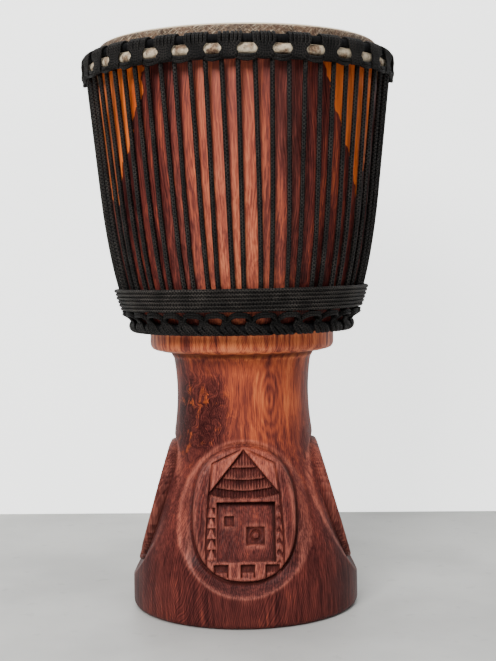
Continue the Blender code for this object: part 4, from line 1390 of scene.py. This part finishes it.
@dataclass(frozen=True)
class RedHardwood:
    """Lacquered red-brown heartwood, with fine upright grain and tongues of orange sapwood."""

    black: Colour = (0.018, 0.004, 0.004)
    heart: Colour = (0.060, 0.014, 0.013)
    red: Colour = (0.158, 0.034, 0.026)
    warm: Colour = (0.430, 0.086, 0.036)
    glow: Colour = (0.710, 0.200, 0.068)
    # Colours of rubbed wood, also used for the painted sheen and painted highlight, and the painted sheen's colour
    # higher on the bowl
    worn_and_sheen: Colour = (0.530, 0.170, 0.116)
    worn_and_sheen_dark: Colour = (0.190, 0.052, 0.042)
    sheen_rose: Colour = (0.340, 0.115, 0.100)
    ember: Colour = (0.780, 0.150, 0.020)
    # Painted shade for the hollows and under the collar
    painted_hollow_shade: Colour = (0.034, 0.008, 0.006)
    sap: Colour = (0.800, 0.170, 0.028)
    sap_dark: Colour = (0.440, 0.075, 0.014)
    roughness: float = 0.38
    lacquer: float = 0.03
    left_tongue: tuple[float, ...] = (-1.42, -0.64, -1.10, 0.400)
    right_tongue: tuple[float, ...] = (0.60, 1.24, 0.98, 0.425)

    def tone(self, bench: NodeBench, grain: LogGrain) -> Wire:
        """How light the grain is, before each part of the log adds its own tint and painted light and shade."""
        streaked, blotted = grain.streak - 0.5, grain.broad - 0.5
        tone = grain.streak * 0.72 + grain.fine * 0.46 + streaked * grain.collar + grain.broad * 0.55
        tone = tone - 0.354 + grain.close * 0.035
        tone = tone - (streaked * 0.32 + blotted * 0.28) * bench.band(grain.height, 0.195, 0.150)
        strength = 0.046 + bench.larger(grain.burl, grain.figure) * 0.05
        return tone + grain.lines * (strength * (1.0 - grain.hollow * 0.6))

    def zone(self, bench: NodeBench, grain: LogGrain) -> Wire:
        """How much each part of the log is lighter or darker than the grain alone, largely as painted light: the
        bowl's front and the neck's middle and right lighter, the log's sides darker, and the carving's painted light
        and shade.
        """
        # Painted light on the front: the bowl lighter on its front, and the neck lighter in its middle and on its
        # right
        bowl_front_light = (bench.band(grain.away, 0.42, 0.06, (0.0, 0.30)) - 0.055) * grain.bowl
        neck = grain.between(0.160, 0.215, 0.268, 0.276)
        zone = bowl_front_light + grain.collar * 0.31 + neck * bench.band(grain.azimuth, -0.80, 0.20, (0.03, 0.18))
        zone = zone - grain.burl * 0.18 - bench.band(grain.height, 0.175, 0.060, (0.0, 0.070))
        # Below 0, the carving's painted shade; above 0, its tint with a painted highlight
        zone = zone + bench.math("MINIMUM", grain.tint_and_painted_light, 0.0) * 0.22 + grain.warm_tint_and_highlight * 0.10
        # Painted shade on the log's sides, away from the front
        return zone - bench.band(abs(grain.azimuth), 0.75, 1.35, (0.0, 0.07))

    def sapwood(self, bench: NodeBench, grain: LogGrain, colour: Wire) -> Wire:
        """Lays both tongues of sapwood over a colour."""
        wavy = grain.azimuth + (grain.curl - 0.5) * 0.16
        tongues = grain.tongue(wavy, *self.left_tongue) + grain.tongue(wavy, *self.right_tongue)
        sap_at = bench.band(tongues + (grain.streak - 0.5) * 0.9, 0.42, 0.58)
        sap = bench.mix(bench.band(grain.streak + grain.fine * 0.4, 0.50, 0.80), self.sap_dark, self.sap)
        return bench.mix(sap_at, colour, sap)

    def wear_sheen_and_shade(self, bench: NodeBench, grain: LogGrain, colour: Wire) -> Wire:
        """Lays a painted sheen over the bowl's front, which stands for a reflection of the lights, then the carving's
        tint and painted highlight, painted shade in its hollows and under the collar, and its rubbed edges over a
        colour.
        """
        # Painted reflection: a pinkish sheen over the bowl's front, rosier higher up
        sheen = bench.band(grain.away, 0.60, 0.0, (0.0, 0.46)) * grain.bowl + grain.collar * 0.08
        worn_at = (grain.streak + grain.fine) * 0.5 + grain.lines * 0.030
        worn_and_sheen = bench.mix(bench.band(worn_at, 0.39, 0.60), self.worn_and_sheen_dark, self.worn_and_sheen)
        sheen_colour = bench.mix(bench.band(grain.height, 0.420, 0.560, (0.0, 0.7)), worn_and_sheen, self.sheen_rose)
        colour = bench.mix(sheen, colour, sheen_colour)
        # The carving's tint and its painted highlight
        colour = bench.mix(grain.warm_tint_and_highlight * 0.50, colour, worn_and_sheen)
        # Painted shade in the hollows and under the collar
        colour = bench.mix(grain.hollow * 0.72, colour, self.painted_hollow_shade)
        return bench.mix(grain.crest * 0.38, colour, worn_and_sheen)

    def build(self, effects: SharedEffects) -> Material:
        """Makes the material."""
        finish = Finish("red_hardwood")
        bench = finish.bench
        grain = LogGrain(bench)
        stops = [(0.24, self.black), (0.40, self.heart), (0.56, self.red), (0.74, self.warm), (0.95, self.glow)]
        colour = bench.ramp(self.tone(bench, grain) + self.zone(bench, grain), stops)
        colour = self.sapwood(bench, grain, colour)
        embers = grain.burl * bench.band(grain.curl + grain.streak, 1.08, 1.38) * bench.band(grain.lines, -0.6, 0.8)
        colour = self.wear_sheen_and_shade(bench, grain, bench.mix(embers, colour, self.ember))

        smear = bench.group(effects.marks, 0.06, 0.004)["Smear"]
        relief = grain.fine * 0.6 + grain.streak * 0.4 + grain.lines * 0.10
        return finish.done(Base_Color=colour, Roughness=self.roughness + smear * 0.10 + grain.hollow * 0.25,
                           Normal=bench.bump(relief, 0.0007, 0.45), Specular_IOR_Level=0.06,
                           Coat_Weight=self.lacquer, Coat_Roughness=0.20)


@dataclass(frozen=True)
class MottledRawhide:
    """Dry goatskin: cream where it is rolled and at its edge, brown and scratched on its collar."""

    cream: Colour = (0.69, 0.58, 0.42)
    tan: Colour = (0.34, 0.23, 0.14)
    brown: Colour = (0.105, 0.058, 0.036)
    dark: Colour = (0.040, 0.022, 0.014)
    radius: float = 0.149

    def build(self, effects: SharedEffects) -> Material:
        """Makes the material."""
        finish = Finish("mottled_rawhide")
        bench = finish.bench
        where = bench.places()
        azimuth, level = bench.round_and_up(where)
        around = azimuth * self.radius
        patches = bench.noise(where, 60.0, 5.0, 0.65)
        grain = bench.noise(where, 420.0, 3.0, 0.65)
        marks = bench.group(effects.marks, 0.03, 0.0016)

        scratch = bench.larger(bench.band(bench.slanted(around, level, 0.60, (90.0, 1500.0)), 0.56, 0.66),
                               bench.band(bench.slanted(around, level, -0.75, (110.0, 1300.0)), 0.60, 0.68))
        collar = bench.mix(bench.band(patches, 0.38, 0.60), self.dark, self.brown)
        collar = bench.mix(bench.band(grain, 0.45, 0.70, (0.0, 0.6)), collar, self.tan)
        collar = bench.mix(scratch * 0.62, collar, self.cream)
        on_collar = bench.band(level + patches * 0.0052, 0.5902, 0.5912) * bench.band(level, 0.5984, 0.5974)

        speckled = bench.mix(bench.band(grain, 0.40, 0.62), self.brown, self.tan)
        speckled = bench.mix(bench.band(patches, 0.40, 0.60), speckled, self.cream)
        roll = bench.mix(bench.band(bench.kept("tight") + grain * 0.25, 0.16, 0.34), speckled, self.cream)
        pale = bench.mix(bench.band(patches, 0.45, 0.75, (0.0, 0.6)), self.cream, self.tan)
        colour = bench.mix(bench.band(level, 0.5800, 0.5850), roll, pale)
        colour = bench.mix(on_collar, colour, collar)
        colour = bench.mix(marks["Speck"] * 0.45, colour, self.brown)
        folds = grain * 0.6 + patches + scratch * 0.2
        return finish.done(Base_Color=colour, Roughness=0.60 + marks["Smear"] * 0.16,
                           Normal=bench.bump(folds, 0.0014, 0.6), Specular_IOR_Level=0.25)


@dataclass(frozen=True)
class BraidedCord:
    """Black braided cord with a faint grey-green sheen on its strands."""

    name: str
    strands: float
    pitch: float
    dark: Colour = (0.0012, 0.0011, 0.0013)
    light: Colour = (0.0062, 0.0057, 0.0060)
    glint: Colour = (0.170, 0.145, 0.125)
    glints: float = 0.40
    roughness: float = 0.60
    relief: float = 0.0007

    def build(self, effects: SharedEffects) -> Material:
        """Makes the material."""
        finish = Finish(self.name)
        bench = finish.bench
        braid = bench.group(effects.braid, self.strands, self.pitch)
        smear = bench.group(effects.marks, 0.02, 0.0015)["Smear"]
        colour = bench.mix(bench.band(braid["Height"] * (0.7 + smear), 0.2, 1.3), self.dark, self.light)
        colour = bench.mix(braid["Glint"] * ((smear + 0.6) * self.glints), colour, self.glint)
        return finish.done(Base_Color=colour, Roughness=self.roughness + braid["Gap"] * 0.25,
                           Normal=bench.bump(braid["Height"], self.relief, 0.9), Specular_IOR_Level=0.14)


@dataclass(frozen=True)
class PalePlaster:
    """The pale wall or the pale floor, with faint smears. The wall glows by itself and has no back."""

    name: str
    light: Colour
    dark: Colour
    roughness: float
    daylight: float = 0.0

    def build(self, effects: SharedEffects) -> Material:
        """Makes the material."""
        finish = Finish(self.name)
        bench = finish.bench
        marks = bench.group(effects.marks, 0.22, 0.02)
        share = marks["Smear"] * 0.7 + marks["Speck"] * 0.3
        values = {"Base_Color": bench.mix(share, self.light, self.dark), "Emission_Color": self.light,
                  "Roughness": self.roughness + share * 0.2}
        if self.daylight:
            seen = bench.wires(bench.add("ShaderNodeLightPath"))["Is Camera Ray"]
            behind = bench.wires(bench.add("ShaderNodeNewGeometry"))["Backfacing"]
            values["Emission_Strength"] = seen * (0.8 * self.daylight) + 0.2 * self.daylight
            values["Alpha"] = 1.0 - behind
        return finish.done(**values)


@dataclass
class PhotoStage:
    """The pale floor and wall, the soft lights, and the camera where the photograph was taken."""

    wall_behind: float = 0.466
    reach: float = 4.0
    focal_pixels: float = 1230.0
    long_side: float = 661.0
    horizon_above_middle: float = 67.0
    camera_at: Triple = (0.0067, -1.34, 0.3685)
    roll: float = math.radians(0.88)
    wall_turn: float = 0.045

    def sheet(self, name: str, corners: list[Triple], finish: Material) -> None:
        """Makes one flat side of the stage."""
        mesh = bpy.data.meshes.new(name)
        mesh.from_pydata(corners, [], [(0, 1, 2, 3)])
        sheet = bpy.data.objects.new(name, mesh)
        bpy.context.scene.collection.objects.link(sheet)
        mesh.materials.append(finish)

    def light(self, name: str, place_at: Triple, size: float, power: float, colour: Colour) -> None:
        """Hangs one square soft light that faces the drum."""
        lamp = bpy.data.lights.new(name, "AREA")
        lamp.size = size
        lamp.energy = power
        lamp.color = colour
        holder = bpy.data.objects.new(name, lamp)
        bpy.context.scene.collection.objects.link(holder)
        holder.location = place_at
        holder.rotation_euler = (Vector((0.0, 0.0, 0.32)) - Vector(place_at)).to_track_quat("-Z", "Y").to_euler()

    def build(self, effects: SharedEffects) -> None:
        """Builds the stage, the lights and the camera."""
        floor = PalePlaster("pale_floor", (0.58, 0.58, 0.56), (0.42, 0.42, 0.41), 0.40).build(effects)
        wall = PalePlaster("pale_wall", (0.84, 0.85, 0.84), (0.80, 0.81, 0.80), 0.75, 2.2).build(effects)
        far, back = self.reach, self.wall_behind
        left, right = back + far * self.wall_turn, back - far * self.wall_turn
        self.sheet("floor", [(-far, -far, 0), (far, -far, 0), (far, right, 0), (-far, left, 0)], floor)
        self.sheet("wall", [(-far, left, 0), (far, right, 0), (far, right, far), (-far, left, far)], wall)
        # Place, width, power and colour of each light
        self.light("window", (-0.75, -1.9, 1.55), 0.9, 60.0, (1.0, 0.985, 0.97))
        self.light("room", (1.7, -1.6, 1.2), 1.2, 8.0, (0.95, 0.97, 1.0))
        self.light("ceiling", (0.0, -0.5, 2.6), 1.8, 36.0, (1.0, 1.0, 1.0))
        world = bpy.data.worlds.new("soft_room")
        world.use_nodes = True
        world.node_tree.nodes["Background"].inputs[0].default_value = (0.90, 0.93, 0.96, 1.0)
        world.node_tree.nodes["Background"].inputs[1].default_value = 0.22
        bpy.context.scene.world = world
        self.camera()

    def camera(self) -> None:
        """Sets the camera at the photograph's distance, height and angle."""
        lens = bpy.data.cameras.new("photo")
        lens.sensor_width = 36.0
        lens.lens = self.focal_pixels / self.long_side * 36.0
        camera = bpy.data.objects.new("photo", lens)
        bpy.context.scene.collection.objects.link(camera)
        pitch = math.atan(self.horizon_above_middle / self.focal_pixels)
        aim = Matrix.Rotation(math.pi / 2 - pitch, 4, "X") @ Matrix.Rotation(-self.roll, 4, "Z")
        camera.matrix_world = Matrix.Translation(self.camera_at) @ aim
        bpy.context.scene.camera = camera


def main() -> None:
    """Builds the drum's pieces in order, and then the stage."""
    logging.basicConfig(level=logging.INFO, format="%(name)s %(message)s")
    effects = SharedEffects(braid=braided_strands(), marks=handling_marks())
    sizes = CrownSizes()
    lacing_rope = BraidedCord("black_cord", 3.0, 0.0038).build(effects)
    hitch_rope = BraidedCord("hitch_cord", 2.0, 0.0026, light=(0.0045, 0.0045, 0.0048), glints=0.25,
                             relief=0.0005).build(effects)
    wrap_rope = BraidedCord("wrap_cord", 3.0, 0.0034, glints=0.75).build(effects)
    cloth = BraidedCord("wound_cloth", 1.0, 0.0040, light=(0.006, 0.006, 0.007), glints=0.0,
                        roughness=0.80).build(effects)

    CarvedLog().build(RedHardwood().build(effects))
    RawhideHead(sizes).build(MottledRawhide().build(effects))
    WoundRing("upper_ring", "crown_ring", sizes.crown_ring).build(cloth)
    WoundRing("lower_ring", "bottom_ring", sizes.bottom_ring).build(cloth)
    CrownHitches(sizes=sizes).build(hitch_rope)
    BottomHitches(sizes=sizes).build(hitch_rope)
    Lacing(sizes).build(lacing_rope)
    WaistWrap(sizes).build(wrap_rope)
    PhotoStage().build(effects)


if __name__ == "__main__":
    main()
